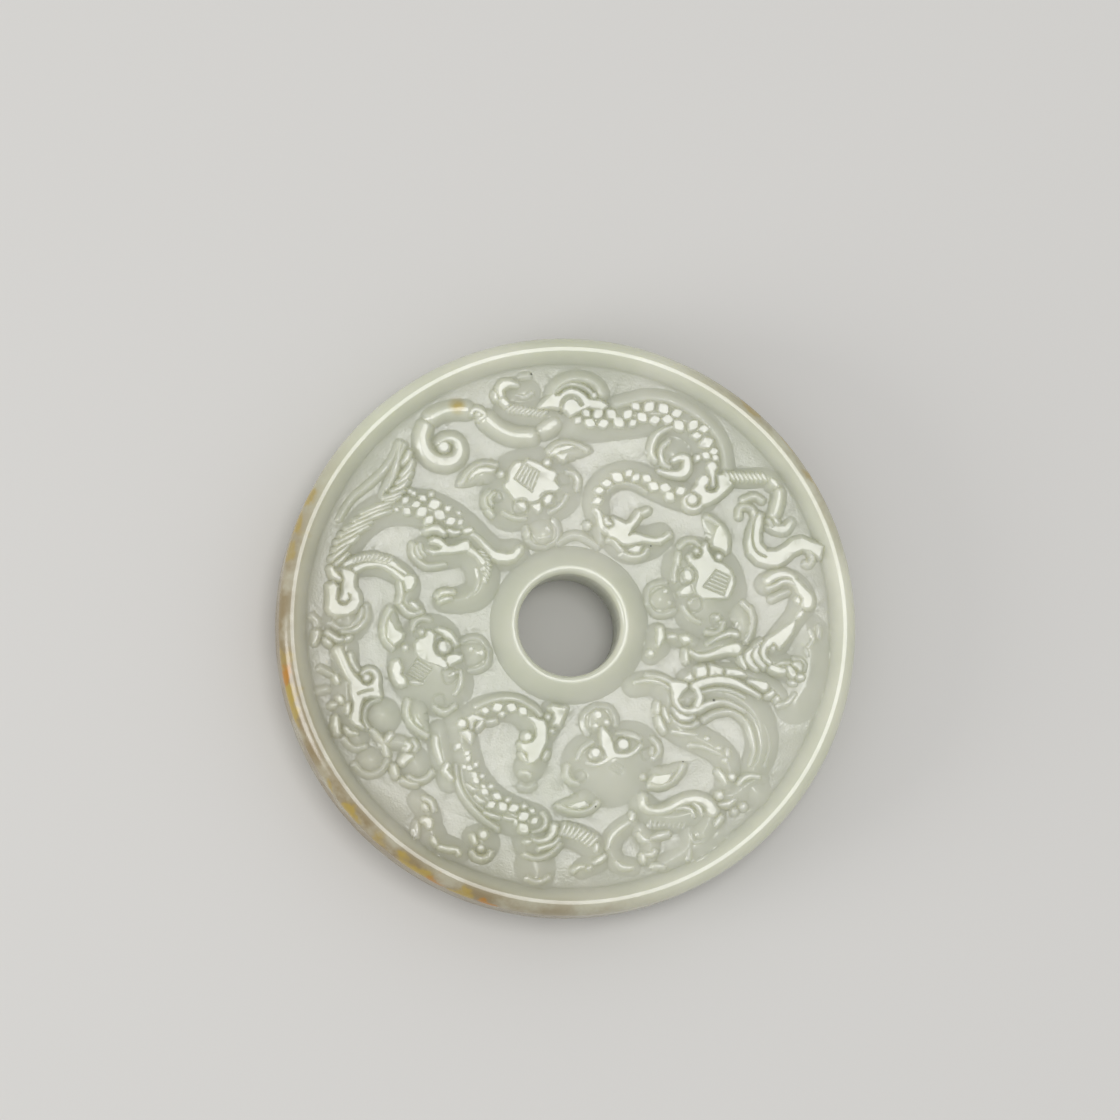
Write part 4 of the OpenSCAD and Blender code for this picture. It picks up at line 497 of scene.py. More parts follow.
# Broad forms with a rounded crest: crest height, width of the side slope, what is added to it, given
# like the half widths of a stroke, and the points that the crest runs through
BODIES = [
    (0.72, 1.3, (0.9, 1.1, 0.8), [(0.8, 19.9), (3, 20.2), (6, 20.6), (8, 20.9), (10, 20.7), (12, 20),
        (13.3, 18.9), (13.9, 17.5), (14.1, 16.2), (13.6, 14.4)]),
    (0.72, 0.8, (0.6, 0.75, 0.9), [(2.9, 11.3), (2.75, 12.4), (3.2, 13.6), (4.3, 14.5), (5.8, 14.9),
        (7.4, 14.5), (8.8, 13.8), (10.3, 13.2), (11.8, 12.8), (13.2, 12.8)]),
    (0.6, 0.6, (1, 1.5), [(3.4, 9.7), (4.6, 9), (5.8, 8.2), (7.5, 8.2), (9, 8.8)]),
    (0.5, 0.6, (1.5, 1.9), [(10.2, 17.3), (10.5, 16.6)]),
    (0.42, 0.8, (0.9, 1.1, 0.8), [(-5.2, 22.6), (-4, 22.9)]),
    (0.55, 0.8, (0.7, 1, 0.6), [(-5.8, 21.4), (-3.8, 20.9), (-2, 20.6), (-0.4, 20.2)]),
    # Cheek of the top dragon, and the knob and arch beside the mask's muzzle
    (0.6, 0.5, (0.3, 0.4), [(2.75, 10.4), (3.1, 9.4), (3.2, 8.5)]),
    (0.55, 0.5, (0.1, 0.1), [(1.9, 9.95), (2.05, 9.9)]),
    (0.55, 0.4, (0.15, 0.2, 0.1), [(-0.9, 8.25), (0, 8.8), (1.1, 8.95), (2.2, 8.4), (2.9, 7.9)]),
    # Left beast: scaled body and inner foreleg
    (0.75, 1.1, (0.4, 1, 0.5), [(-21.5, 7.6), (-20, 9.8), (-18, 11.2), (-15.8, 11.6), (-13.6, 11.3),
        (-11.6, 10.5), (-9.9, 9.3), (-8.4, 7.9), (-6.9, 7), (-5.2, 7.1)]),
    (0.55, 0.35, (0.1, 0.2), [(-22.2, 10.4), (-21, 12.3), (-19.5, 13.6), (-18, 15), (-17, 16.4),
        (-16.4, 17.9)]),
    (0.55, 0.35, (0.1, 0.2), [(-18.1, 12.6), (-17.6, 13.8), (-16.8, 15.3), (-16.1, 17.6)]),
    (0.7, 1, (0.7, 0.9, 0.3), [(-13.8, 7.3), (-12, 7.2), (-10, 7.4), (-8.6, 6.2), (-8.3, 4.6), (-8.9, 3.2),
        (-10.6, 2.6), (-12, 2.6)]),
    (0.6, 0.7, (0.5, 0.9, 0.9), [(-22.4, 3.2), (-21.6, 1.6), (-21.3, 0.4)]),
    (0.7, 0.8, (0.3, 0.5), [(-22.2, 5.4), (-20, 5.9), (-18, 5.9), (-16.2, 5), (-15.4, 3.8), (-15.8, 2.4),
        (-15, 1.7)]),
    # Lower left: ball and curl
    (0.45, 0.7, (0.9, 1.2, 0.6), [(-22.4, 0.6), (-21.2, 0.2), (-20, 1)]),
    (0.75, 1, (0.8, 0.9), [(-18.2, -8.5), (-17.9, -8.7)]),
    (0.55, 0.9, (0.5, 0.7, 0.6), [(-21.6, -2), (-21.6, -5), (-21.4, -8), (-20.6, -10.6)]),
    (0.5, 0.6, (0.5, 0.5), [(-20.6, -10.7), (-20.4, -10.9)]),
    (0.55, 0.8, (0.6, 0.6), [(-19.3, -12.9), (-19.1, -13)]),
    (0.6, 0.6, (0.2, 0.3), [(-17.9, -11.4), (-16.6, -11.2), (-15.4, -11.6)]),
    (0.6, 0.8, (0.7, 0.9), [(-15.2, -12.7), (-14.7, -13.6)]),
    (0.55, 0.8, (0.5, 0.7, 0.4), [(-12.6, -10.2), (-12.2, -12.4), (-11.6, -15)]),
    (0.5, 0.8, (0.4, 0.7), [(-14.6, -16.8), (-13.7, -18), (-13.5, -19.6), (-12.6, -21), (-10.6, -21.7)]),
    (0.55, 0.8, (0.9, 1.1), [(-8.9, -20.6), (-8.3, -20.9)]),
    # Bottom dragon
    (0.72, 0.9, (0.5, 0.7, 0.7), [(-10.8, -9.8), (-9.4, -8.6), (-7.6, -7.9), (-5.6, -7.8), (-4, -8.6),
        (-3.1, -10.2), (-3.3, -12.2), (-3.9, -13.6)]),
    (0.72, 1.1, (0.6, 0.9, 1), [(-10.6, -9.2), (-10.4, -11.2), (-10.1, -13), (-9.5, -14.7), (-8.3, -16.4),
        (-6.8, -17.6), (-5.2, -18.4), (-3.6, -19)]),
    (0.6, 1, (1, 1.3), [(-3.6, -20.2), (-3.1, -21.2)]),
    (0.4, 1, (0.8, 1.2, 0.9), [(-3.5, -22.4), (-3.2, -23.9)]),
    (0.6, 0.8, (0.5, 0.7, 0.3), [(-1.5, -20), (0.4, -20.2), (2, -21), (2.9, -22.3), (1.2, -23.4)]),
    (0.5, 0.6, (0.3, 0.5), [(-1.9, -7.9), (-1.6, -9.2), (-2, -10.4)]),
    # Right beast and bird
    (0.42, 1, (1.1, 1.5, 1.3), [(23.5, -0.4), (23.6, -2.8), (23.2, -5.2), (22.1, -7.2)]),
    (0.75, 0.5, (0.45, 0.45), [(11.5, -6.95), (11.55, -7.05)]),
    (0.7, 0.9, (0.3, 0.5, 0.5), [(19.3, 4.3), (20.6, 4.8), (22, 4.4), (22.9, 3.1), (22.4, 1.2), (21, -0.6),
        (19.9, -2)]),
    (0.65, 0.8, (0.4, 0.7, 0.6), [(17.4, -2.8), (18.8, -3), (20.2, -3.4), (22.4, -4.4)]),
    (0.6, 0.9, (0.3, 0.6, 0.4), [(12, -2.4), (13.8, -2), (15.4, -1.6), (16.8, -2.4)]),
    (0.65, 0.7, (0.3, 0.4), [(11.4, -4.9), (13.4, -4.3), (15.6, -4.3), (17.6, -4.6), (19.6, -5.6),
        (20.8, -6.6)]),
    (0.72, 1, (0.5, 0.95, 0.6), [(10.6, -7.2), (12.2, -6.6), (14.4, -6.3), (16.3, -6.8), (18, -8.2),
        (18.7, -10), (18.7, -12), (17.9, -13.8)]),
    (0.6, 0.9, (0.4, 0.7, 0.5), [(6.4, -5.6), (8.4, -5.4), (9.6, -6.6), (9.6, -8.6), (10.8, -9.9),
        (12.6, -10.8), (14.6, -12), (15.6, -13.6), (15.4, -15.2)]),
    (0.6, 0.7, (0.5, 0.8, 0.4), [(8.6, -0.6), (8.7, -1.4), (8, -2.6)]),
    (0.55, 0.6, (0.3, 0.4), [(9.6, -0.9), (11.4, -1.1), (12.2, -1.6)]),
    # Lower right beast
    (0.45, 0.9, (0.7, 0.9), [(17.7, -15.4), (18.3, -16.1)]),
    (0.36, 1, (0.8, 1.4, 0.6), [(10.8, -21.5), (12.8, -21), (14.4, -20)]),
    (0.7, 1, (0.4, 0.9, 0.7), [(7, -17), (8.2, -18.2), (10.2, -18.4), (12.2, -18), (13.6, -18.3),
        (12.9, -20)]),
    (0.6, 0.7, (0.3, 0.5), [(5.9, -18.9), (4.6, -19.9), (3.9, -21.4), (4.6, -22.8), (6, -23.2)]),
    (0.6, 0.7, (0.3, 0.4), [(6.8, -19.6), (7.8, -20.9), (7.6, -22.2)]),
    (0.6, 0.8, (0.5, 0.8, 0.4), [(14.8, -16.4), (16, -16.2), (17.4, -15.2), (18.4, -14.6)]),
    (0.5, 0.7, (0.4, 0.6, 0.3), [(11.6, -19.6), (11.4, -21.4), (9.2, -22.9)]),
]

# Flat-topped shapes, in the columns of the masks' plates, and then the width of the side slope where
# that is over SIDE_SLOPE
PLATES = [
    # Haunch of the top dragon
    (1, [(-2.7, 21.4), (-2, 22.1), (-1.35, 22.75), (-1.2, 22.45), (-0.7, 22.5), (-0.2, 22.95),
        (0.4, 23.15), (1, 23), (1.5, 22.7), (2, 22.2), (2.5, 22.05), (3.2, 22.05), (3.8, 21.6),
        (3.4, 21.2), (2.8, 21.35), (2.1, 21.5), (1.5, 21.25), (0.9, 20.95), (0.3, 20.65), (-0.05, 21.1),
        (-0.6, 21.35), (-1.3, 21.45)]),
    # Shoulder
    (1, [(12.3, 13.4), (12.75, 13.9), (12.8, 14.3), (13.1, 14.75), (13.5, 14.8), (13.75, 14.45),
        (13.65, 14.1), (13.4, 13.9), (13.3, 13.6), (13.5, 13.2), (14, 13.05), (14.6, 13.2), (14.85, 13.7),
        (14.8, 14.3), (14.7, 14.8), (15.3, 14.9), (15.8, 14.3), (16, 14.05), (15.3, 13.3), (14.6, 12.7),
        (13.8, 12.2), (13.1, 12), (13.1, 12.8)]),
    # Face and lower jaw
    (1, [(3.35, 9.65), (3.9, 9.2), (4.1, 8.85), (4.6, 8.75), (5, 8.4), (5.4, 8.15), (5.9, 8.1), (6.5, 8.2),
        (7.2, 8.4), (8.2, 8.3), (9, 8.3), (9.4, 8.6), (9.9, 9), (9.85, 9.1), (9.3, 8.75), (8.5, 8.55),
        (7.6, 8.7), (6.9, 8.95), (6.4, 9.05), (5.9, 8.8), (5.8, 9), (6.2, 9.7), (6.6, 10.3), (7, 10.9),
        (7.05, 11.2), (6.9, 11.2), (6.5, 10.6), (6.1, 10.1), (5.6, 10), (5, 10.25), (4.5, 10.5),
        (4.6, 10.1), (4.45, 9.7), (4, 9.5)]),
    # Lip
    (0.9, [(6, 7.55), (6.4, 7.35), (6.9, 7.35), (7.1, 7.85), (6.6, 7.9)]),
    # Left beast: foreleg wedge and haunch
    (1, [(-8.4, 8.2), (-7.9, 7.7), (-7, 7.15), (-6, 6.95), (-5.4, 7.05), (-4.9, 7.6), (-4.65, 7.65),
        (-4.7, 7.2), (-5.2, 6.6), (-5.9, 6.4), (-6.8, 6.4), (-7.4, 6.7), (-7.8, 7.4)], 0.6),
    (1, [(-13.3, 8.2), (-13, 8.45), (-12.5, 8.38), (-12.1, 8), (-11.7, 7.7), (-11, 7.75), (-10.3, 8.1),
        (-9.75, 8.25), (-9.6, 7.45), (-10.5, 7.3), (-11.5, 7.15), (-12.3, 7.15), (-13.1, 7.05),
        (-13.7, 7.35), (-13, 7.25), (-12.4, 7.35), (-12.2, 7.7), (-12.7, 8)]),
    # Left beast: blob at the end of the leg band and the spiral
    (1, [(-16, 4.7), (-15.4, 4.88), (-15.05, 4.7), (-15, 4.2), (-15.3, 3.6), (-15.7, 3.55),
        (-15.85, 4.1)]),
    (1, [(-21.85, 5.4), (-21.2, 5.3), (-20.75, 5), (-20.88, 4.3), (-20.85, 3.7), (-20.45, 3.1),
        (-20.3, 2.35), (-20.67, 1.6), (-21.4, 1.17), (-22.5, 1.07), (-23, 1.28), (-23.2, 1.8),
        (-23.1, 2.8), (-23.2, 3.8), (-22.8, 4.05), (-22.5, 3.8), (-22.55, 3), (-22.6, 2.5), (-22.3, 2),
        (-21.9, 1.87), (-21.4, 2), (-21, 2.45), (-21, 3), (-21.35, 3.25), (-21.45, 3.1), (-21.35, 2.65),
        (-21.65, 2.4), (-22.05, 2.55), (-21.75, 3.2), (-21.75, 4), (-21.65, 4.5), (-21.8, 5)], 0.55),
    # Lower left plate with its loop
    (1, [(-21.05, -5.2), (-20.6, -5.1), (-20.3, -5.4), (-20, -5.75), (-19.5, -5.88), (-19, -5.65),
        (-18.7, -5.2), (-18.5, -5.9), (-18.4, -6.7), (-18.6, -6.8), (-19.2, -6.75), (-20, -6.95),
        (-20.2, -7.4), (-20.35, -8.2), (-20.4, -9.2), (-20, -9.8), (-20.7, -9.5), (-21.1, -9),
        (-20.85, -8.2), (-20.75, -7.4), (-21, -6.6), (-21.05, -5.9)]),
    # Bottom dragon: head and horn
    (1, [(-3.95, -8.8), (-3.5, -8.8), (-3, -9.1), (-2.5, -9.2), (-2.3, -9.8), (-2.35, -11.2),
        (-2.7, -11.9), (-3.05, -12.7), (-3.5, -13.1), (-4, -13.2), (-4, -12.3), (-4.5, -11.9),
        (-4.75, -11.4), (-4.2, -11.4), (-3.5, -11.2), (-3.15, -10.6), (-3.15, -9.9), (-3.4, -9.3)]),
    (0.9, [(-1.85, -7.9), (-1.5, -7.75), (-0.9, -7.9), (-0.4, -7.9), (-0.65, -8.6), (-1, -9.5),
        (-1.5, -9.4), (-1.3, -8.9), (-1.4, -8.3)]),
    # Bottom dragon: shoulder
    (0.98, [(-9.85, -8.9), (-9.4, -8.6), (-8.9, -8.7), (-8.3, -9), (-8.6, -9.15), (-9.1, -9), (-9.4, -9.4),
        (-9.5, -9.8), (-9.65, -9.2)]),
    (0.98, [(-10.5, -10.3), (-9.9, -10.1), (-9.5, -10.4), (-9.6, -11.2), (-9.85, -10.9)]),
    # Right: thigh wedge
    (1, [(22.05, 0.65), (21.6, 0.3), (21, -0.1), (20.2, -0.7), (19.4, -1.2), (18.95, -1.8), (19.25, -2),
        (19.7, -1.5), (20.1, -1.45), (20.55, -1.9), (21.2, -1.2), (21.7, -0.5), (22, 0.2)]),
    # Right: long scales of the neck
    (1, [(12.45, -4.8), (12.5, -4), (13.2, -3.8), (13.4, -4.3), (13.3, -4.7)]),
    (1, [(13.8, -3.75), (14.3, -3.85), (14.9, -4.05), (14.85, -4.5), (13.8, -4.6)]),
    (1, [(15.4, -4.1), (16.2, -4.15), (16.8, -4.3), (17.2, -4.6), (16.4, -4.6), (15.4, -4.55)]),
    (1, [(11.4, -4.9), (11.8, -4.55), (12.05, -5), (11.7, -5.1)]),
    # Right: shoulder triangle
    (0.95, [(9.85, -5.35), (10.6, -5.4), (11.4, -5.5), (11.45, -5.75), (10.9, -6.3), (10.6, -6.9),
        (10.3, -6.9), (10.15, -6.2)]),
    # Ribbon between the leg and the rim
    (0.75, [(18.3, 11.3), (18.3, 10.6), (17.85, 9.6), (17.62, 8.4), (17.8, 7.3), (18.55, 6.5), (19.6, 6.2),
        (20.5, 6.2), (21.2, 6.6), (22, 7.35), (22.9, 7.75), (23.7, 7.6), (24.6, 7), (24.9, 8), (23.7, 8.4),
        (22.9, 8.75), (22.1, 8.55), (21.3, 7.9), (20.4, 7.4), (19.4, 7.45), (18.7, 8.2), (18.65, 9.3),
        (18.85, 10.2), (18.9, 11)]),
]

# Knobs, in the columns of the masks' knobs
KNOBS = [
    ((1.95, 9.93), 0.1, 0.9), ((-12.05, 17.45), 0.42, 1), ((-8.65, 20.65), 0.18, 0.9),
    ((2.6, 22.6), 0.2, 0.9), ((14.1, 15.7), 0.42, 1), ((12.15, 12.5), 0.42, 1), ((-19.6, -5), 0.24, 0.95),
    ((-4.05, -10.68), 0.32, 1), ((-2.05, -8.75), 0.13, 0.9), ((-1.7, -10.1), 0.12, 0.8),
    ((19.95, -1.98), 0.15, 0.9), ((-10.4, -9.42), 0.34, 1), ((12.45, -20.05), 0.12, 0.66),
    ((14.6, -16.3), 0.24, 0.95), ((15.8, -14.5), 0.22, 0.95), ((16.9, -17.35), 0.13, 0.75),
    ((16.05, -17.8), 0.08, 0.65), ((-8.4, -20.15), 0.32, 0.9), ((-8.6, -21.35), 0.2, 0.85),
    ((8, -2.5), 0.2, 0.8), ((20.3, -6.9), 0.12, 0.85), ((13.4, -10.8), 0.13, 0.72),
    ((15.2, -12.9), 0.15, 0.8),
]

# Round scales of the dragons' bodies: place along X and Y, radius of the top
SCALES = [
    (1.05, 20.15, 0.24), (2.2, 19.9, 0.36), (3.5, 19.85, 0.36), (5, 20, 0.42), (6.4, 19.95, 0.26),
    (1.85, 20.85, 0.26), (3, 20.8, 0.38), (4.3, 20.75, 0.38), (5.9, 20.75, 0.36), (7.3, 20.5, 0.38),
    (6.7, 21.55, 0.3), (8, 21.5, 0.42), (9.4, 21.35, 0.42), (8.55, 20.25, 0.34), (9.8, 20.3, 0.38),
    (10.7, 20.9, 0.36), (10.9, 19.75, 0.42), (12.3, 19.75, 0.4), (13.35, 19.4, 0.3), (12.65, 18.75, 0.28),
    (13.6, 18.05, 0.45), (14.3, 17.2, 0.27), (14.45, 16.6, 0.22), (13.55, 16.8, 0.28),
    (12.75, 16.6, 0.18), (2.9, 12.3, 0.26), (3.06, 13.3, 0.28), (3.8, 14, 0.3), (4.85, 14.6, 0.42),
    (5.95, 15, 0.26), (6.65, 14.6, 0.28), (7.7, 14.5, 0.32), (8.4, 13.75, 0.36), (9.5, 13.6, 0.38),
    (11, 13.3, 0.34), (9.95, 12.8, 0.34), (-16.65, 11.3, 0.14), (-15.8, 12.2, 0.24),
    (-15.65, 11.15, 0.27), (-14.75, 11.8, 0.27), (-14.1, 12.4, 0.22), (-15, 12.9, 0.13),
    (-13.3, 12.8, 0.1), (-13, 11.8, 0.42), (-14.2, 11.1, 0.4), (-12.5, 10.8, 0.42), (-13.5, 10.3, 0.32),
    (-11.7, 11.4, 0.22), (-10.6, 11, 0.1), (-11.4, 10.2, 0.33), (-10.5, 10.1, 0.2), (-15.35, 13.1, 0.1),
    (-8.15, -8.15, 0.25), (-6.95, -7.85, 0.34), (-5.6, -7.85, 0.34), (-4.5, -8.2, 0.3),
    (-6.5, -8.45, 0.15), (-10.75, -11.6, 0.2), (-9.95, -12.3, 0.18), (-9.85, -12.8, 0.18),
    (-10.2, -13.6, 0.15), (-9.7, -13.7, 0.2), (-9.1, -13.4, 0.15), (-9.25, -14.4, 0.22),
    (-9.1, -14.9, 0.24), (-8.5, -14.5, 0.14), (-8.35, -15.5, 0.16), (-8.25, -16, 0.25),
    (-7.65, -15.5, 0.14), (-7.05, -16.45, 0.27), (-7.6, -17.25, 0.28), (-6.5, -17.45, 0.34),
    (-5.45, -17.6, 0.33), (-6, -16.8, 0.14), (-4.5, -18.4, 0.38), (-4.45, -17.4, 0.15),
    (-3.65, -17.85, 0.15), (-3.45, -18.8, 0.24), (-4.5, -19.5, 0.38),
]
# Width of a scale's side slope, what is added to its radius, and what its radius is added to for its
# top height
SCALE_SLOPE = 0.4
SCALE_GROWTH = 0.04
SCALE_LEAST_TOP = 0.65
# A scale is this much longer than wide, has sides of this power, and turns up to this many degrees,
# by a sine of its place that runs this fast
SCALE_LONG = 1.25
SCALE_POWER = 1.45
SCALE_TURN = 50
SCALE_WANDER = 2.3

# Cuts, in the columns of MASK_CUTS
CUTS = [
    (0.35, 0.18, [(-0.6, 21), (-0.5, 21.8), (-0.1, 22.3), (0.5, 22.45), (1, 22.2), (1.35, 21.75)]),
    (0.3, 0.09, [(18.6, 11.3), (18.2, 10.3), (18.05, 9.2), (18.1, 8.2), (18.5, 7.4), (19.3, 6.95)]),
    (0.2, 0.11, [(-20.4, -6.55), (-19.9, -6.35), (-19.1, -6.2)]),
]

# Mesh of the carved face before it is thinned: spacing of its points, and triangles that are kept
CELL = 0.09
KEPT_TRIANGLES = 190000
# Faces that meet at more than this many degrees keep a crisp edge
CREASE_ANGLE = 15
# Points round a plain ring of the blank, and steps of a quarter round
PLAIN_POINTS = 720
ROUND_STEPS = 10
# Spacing of the points of a curve, in drawn units, and how soft a side slope is, from 0 for straight
# to 1 for a smooth step
CURVE_STEP = 0.12
EDGE_SOFTNESS = 0.25
# Width of the side slope of a stroke, plate or knob where its row gives none
SIDE_SLOPE = 0.5
# Power of the rounding of a body's section, and the share of a body or dome over which its foot runs
# out softly
BODY_POWER = 1.12
BODY_FOOT = 0.3
DOME_FOOT = 0.12
# A cut runs out at this many times its half width, and is shallower where the carving stands lower
# than this share of RELIEF_H
CUT_REACH = 1.6
CUT_FULL_FROM = 0.5
# Least squared length of a piece of a line, so that nothing is divided by 0
TINY = 1e-12


def curve(points):
    """Smooth line through the points, closely divided."""
    p = np.array(points, float)
    q = np.vstack([2 * p[0] - p[1], p, 2 * p[-1] - p[-2]])
    pieces = []
    for a, b, c, d in zip(q, q[1:], q[2:], q[3:]):
        n = max(2, math.ceil(np.hypot(*(c - b)) / CURVE_STEP))
        t = np.arange(n)[:, None] / n
        cubic = 3 * b - a - 3 * c + d
        pieces.append(b + ((c - a) * t + (2 * a - 5 * b + 4 * c - d) * t**2 + cubic * t**3) / 2)
    return np.vstack(pieces + [p[-1:]])


def lengths(line):
    """Length of a line up to each of its points."""
    return np.concatenate([[0], np.cumsum(np.hypot(*np.diff(line, axis=0).T))])


def spread(line, values):
    """Value at each point of a line, from those at the start, the middle and the end, or from the
    first two where the end is like the start."""
    s = lengths(line)
    return np.interp(s / s[-1], [0, 0.5, 1], (*values, values[0])[:3])


def side_slope(outside, width):
    """Height share of a side slope, from 1 where outside is 0 or less to 0 where it is width."""
    t = np.clip(1 - outside / width, 0, 1)
    return EDGE_SOFTNESS * t * t * (3 - 2 * t) + (1 - EDGE_SOFTNESS) * t


def soft_foot(inside, share):
    """Factor that brings a height softly to 0 over a share of its width."""
    t = np.clip(inside / share, 0, 1)
    return 1 - (1 - t) ** 2


def turned(points, angle, side=1):
    """Points turned round the middle, and mirrored first where side is -1."""
    a = math.radians(angle)
    turn = np.array([[math.cos(a), math.sin(a)], [-side * math.sin(a), side * math.cos(a)]])
    return np.array(points, float) @ turn


class Relief:
    """Heights of the carving, as shares of RELIEF_H, at points given in drawn units."""

    def __init__(self, x, y):
        self.x = x
        self.y = y
        self.raised = np.zeros_like(x)
        self.sunk = np.zeros_like(x)

    def near(self, line, pad):
        """Numbers of the points within pad of a line's box."""
        lo = line.min(0) - pad
        hi = line.max(0) + pad
        return np.nonzero((self.x > lo[0]) & (self.x < hi[0]) & (self.y > lo[1]) & (self.y < hi[1]))[0]

    def lift(self, which, heights):
        """Raises points to heights, where they aren't higher already."""
        self.raised[which] = np.maximum(self.raised[which], heights)

    def outside(self, which, line, halves):
        """Distance of points from a line of changing half width, under 0 within it."""
        x = self.x[which]
        y = self.y[which]
        best = np.full(x.shape, np.inf)
        for a, b, wa, wb in zip(line, line[1:], halves, halves[1:]):
            d = b - a
            t = np.clip(((x - a[0]) * d[0] + (y - a[1]) * d[1]) / max(d @ d, TINY), 0, 1)
            away = np.hypot(x - a[0] - t * d[0], y - a[1] - t * d[1]) - wa * (1 - t) - wb * t
            best = np.minimum(best, away)
        return best

    def stroke(self, top, halves, points, slope=SIDE_SLOPE):
        line = curve(points)
        which = self.near(line, max(halves) + slope)
        self.lift(which, top * side_slope(self.outside(which, line, spread(line, halves)), slope))

    def body(self, crest, slope, extra, points):
        line = curve(points)
        which = self.near(line, max(extra) + slope)
        halves = spread(line, extra) + slope
        inside = np.clip(-self.outside(which, line, halves) / halves.max(), 0, 1)
        self.lift(which, crest * (1 - (1 - inside) ** BODY_POWER) * soft_foot(inside, BODY_FOOT))

    def plate(self, top, points, slope=SIDE_SLOPE):
        p = np.array(points, float)
        which = self.near(p, slope)
        x = self.x[which]
        y = self.y[which]
        inside = np.zeros(x.shape, bool)
        for (xa, ya), (xb, yb) in zip(p, np.roll(p, 1, axis=0)):
            if ya != yb:
                inside ^= ((ya > y) != (yb > y)) & (x < (xb - xa) * (y - ya) / (yb - ya) + xa)
        outline = np.vstack([p, p[:1]])
        away = self.outside(which, outline, np.zeros(len(outline)))
        self.lift(which, top * side_slope(np.where(inside, 0, away), slope))

    def knob(self, place, r, top):
        which = self.near(np.array([place], float), r + SIDE_SLOPE)
        away = np.hypot(self.x[which] - place[0], self.y[which] - place[1]) - r
        self.lift(which, top * side_slope(away, SIDE_SLOPE))

    def scale(self, x, y, r):
        """One scale: between a round and a lozenge, and turned a little differently at each place."""
        which = self.near(np.array([[x, y]], float), 2 * r + SCALE_SLOPE)
        turn = SCALE_TURN * math.sin(SCALE_WANDER * (x + y))
        px, py = turned(np.stack([self.x[which] - x, self.y[which] - y], axis=1), turn).T
        powers = np.abs(px / SCALE_LONG) ** SCALE_POWER + np.abs(py) ** SCALE_POWER
        away = powers ** (1 / SCALE_POWER) - r
        self.lift(which, min(1, SCALE_LEAST_TOP + r) * side_slope(away, SCALE_SLOPE))

    def dome(self, height, power, centre, outline):
        """A rounded form that falls from its centre to an outline."""
        p = np.array(outline, float) - centre
        angle = np.unwrap(np.arctan2(p[:, 1], p[:, 0]))
        radius = np.hypot(p[:, 0], p[:, 1])
        if angle[-1] < angle[0]:
            angle = angle[::-1]
            radius = radius[::-1]
        which = self.near(p + centre, 0)
        x = self.x[which] - centre[0]
        y = self.y[which] - centre[1]
        around = (np.arctan2(y, x) - angle[0]) % (2 * math.pi)
        angles = np.append(angle - angle[0], 2 * math.pi)
        edge = np.interp(around, angles, np.append(radius, radius[0]))
        inside = np.clip(1 - np.hypot(x, y) / edge, 0, 1)
        self.lift(which, height * (1 - (1 - inside) ** power) * soft_foot(inside, DOME_FOOT))

    def cut(self, depth, half, points, smooth=True):
        line = curve(points) if smooth else np.array(points)
        which = self.near(line, 2 * half)
        away = self.outside(which, line, np.zeros(len(line)))
        depths = depth * np.clip(1 - (away / (CUT_REACH * half)) ** 2, 0, 1)
        self.sunk[which] = np.maximum(self.sunk[which], depths)

    def mask(self, angle, plates, strokes, knobs, cuts=(), lozenge=None):
        for height, power, centre, half in MASK_DOMES:
            outline = half + [(u, -v) for u, v in half[::-1] if v > 0]
            self.dome(height, power, turned(centre, angle), turned(outline, angle))
        for side in (1, -1):
            for height, power, centre, outline in MASK_EARS:
                self.dome(height, power, turned(centre, angle, side), turned(outline, angle, side))
            for top, halves, points in MASK_STROKES:
                self.stroke(top, halves, turned(points, angle, side))
            for depth, half, points in MASK_CUTS:
                self.cut(depth, half, turned(points, angle, side))
        for top, outline in plates:
            self.plate(top, turned(outline, angle))
        for top, halves, points in strokes:
            self.stroke(top, halves, turned(points, angle))
        for place, r, top in knobs:
            self.knob(turned(place, angle), r, top)
        for depth, half, points in cuts:
            self.cut(depth, half, turned(points, angle))
        if lozenge is None:
            return
        top, left, foot, right = turned(lozenge, angle)
        self.cut(*LOZENGE_CUT, [top, left, foot, right, top], False)
        for share in np.arange(1, LOZENGE_LINES + 1) / (LOZENGE_LINES + 1):
            self.cut(*LOZENGE_CUT, [top + (right - top) * share, left + (foot - left) * share])

    def rope(self, top, half, reach, slant, count, points):
        """Short slanted strokes side by side along a line."""
        line = curve(points)
        s = lengths(line)
        for at in (np.arange(count) + 0.5) / count * s[-1]:
            middle = np.array([np.interp(at, s, line[:, 0]), np.interp(at, s, line[:, 1])])
            k = min(np.searchsorted(s, at), len(line) - 1)
            along = (line[k] - line[k - 1]) / (s[k] - s[k - 1])
            way = turned([along], slant)[0] * reach / 2
            self.stroke(top, (half / 2, half), [middle - way, middle, middle + way])

    def carve(self):
        """Heights of the whole carving."""
        for row in MASKS:
            self.mask(**row)
        for row in BODIES:
            self.body(*row)
        for row in PLATES:
            self.plate(*row)
        for row in STROKES:
            self.stroke(*row)
        for row in ROPES:
            self.rope(*row)
        for points in FEATHERS:
            self.stroke(*FEATHER, points)
        for row in KNOBS:
            self.knob(*row)
        for x, y, r in SCALES:
            self.scale(x, y, r + SCALE_GROWTH)
        for row in CUTS:
            self.cut(*row)
        sunk = self.sunk * np.minimum(1, self.raised / CUT_FULL_FROM)
        return np.clip(self.raised - sunk, 0, None)


def quarter_round(centre, r, start, end):
    """Points of a round corner of the blank's section, as radius and height."""
    angles = np.radians(np.linspace(start, end, ROUND_STEPS + 1))
    return [(centre[0] + r * math.cos(a), centre[1] + r * math.sin(a)) for a in angles]


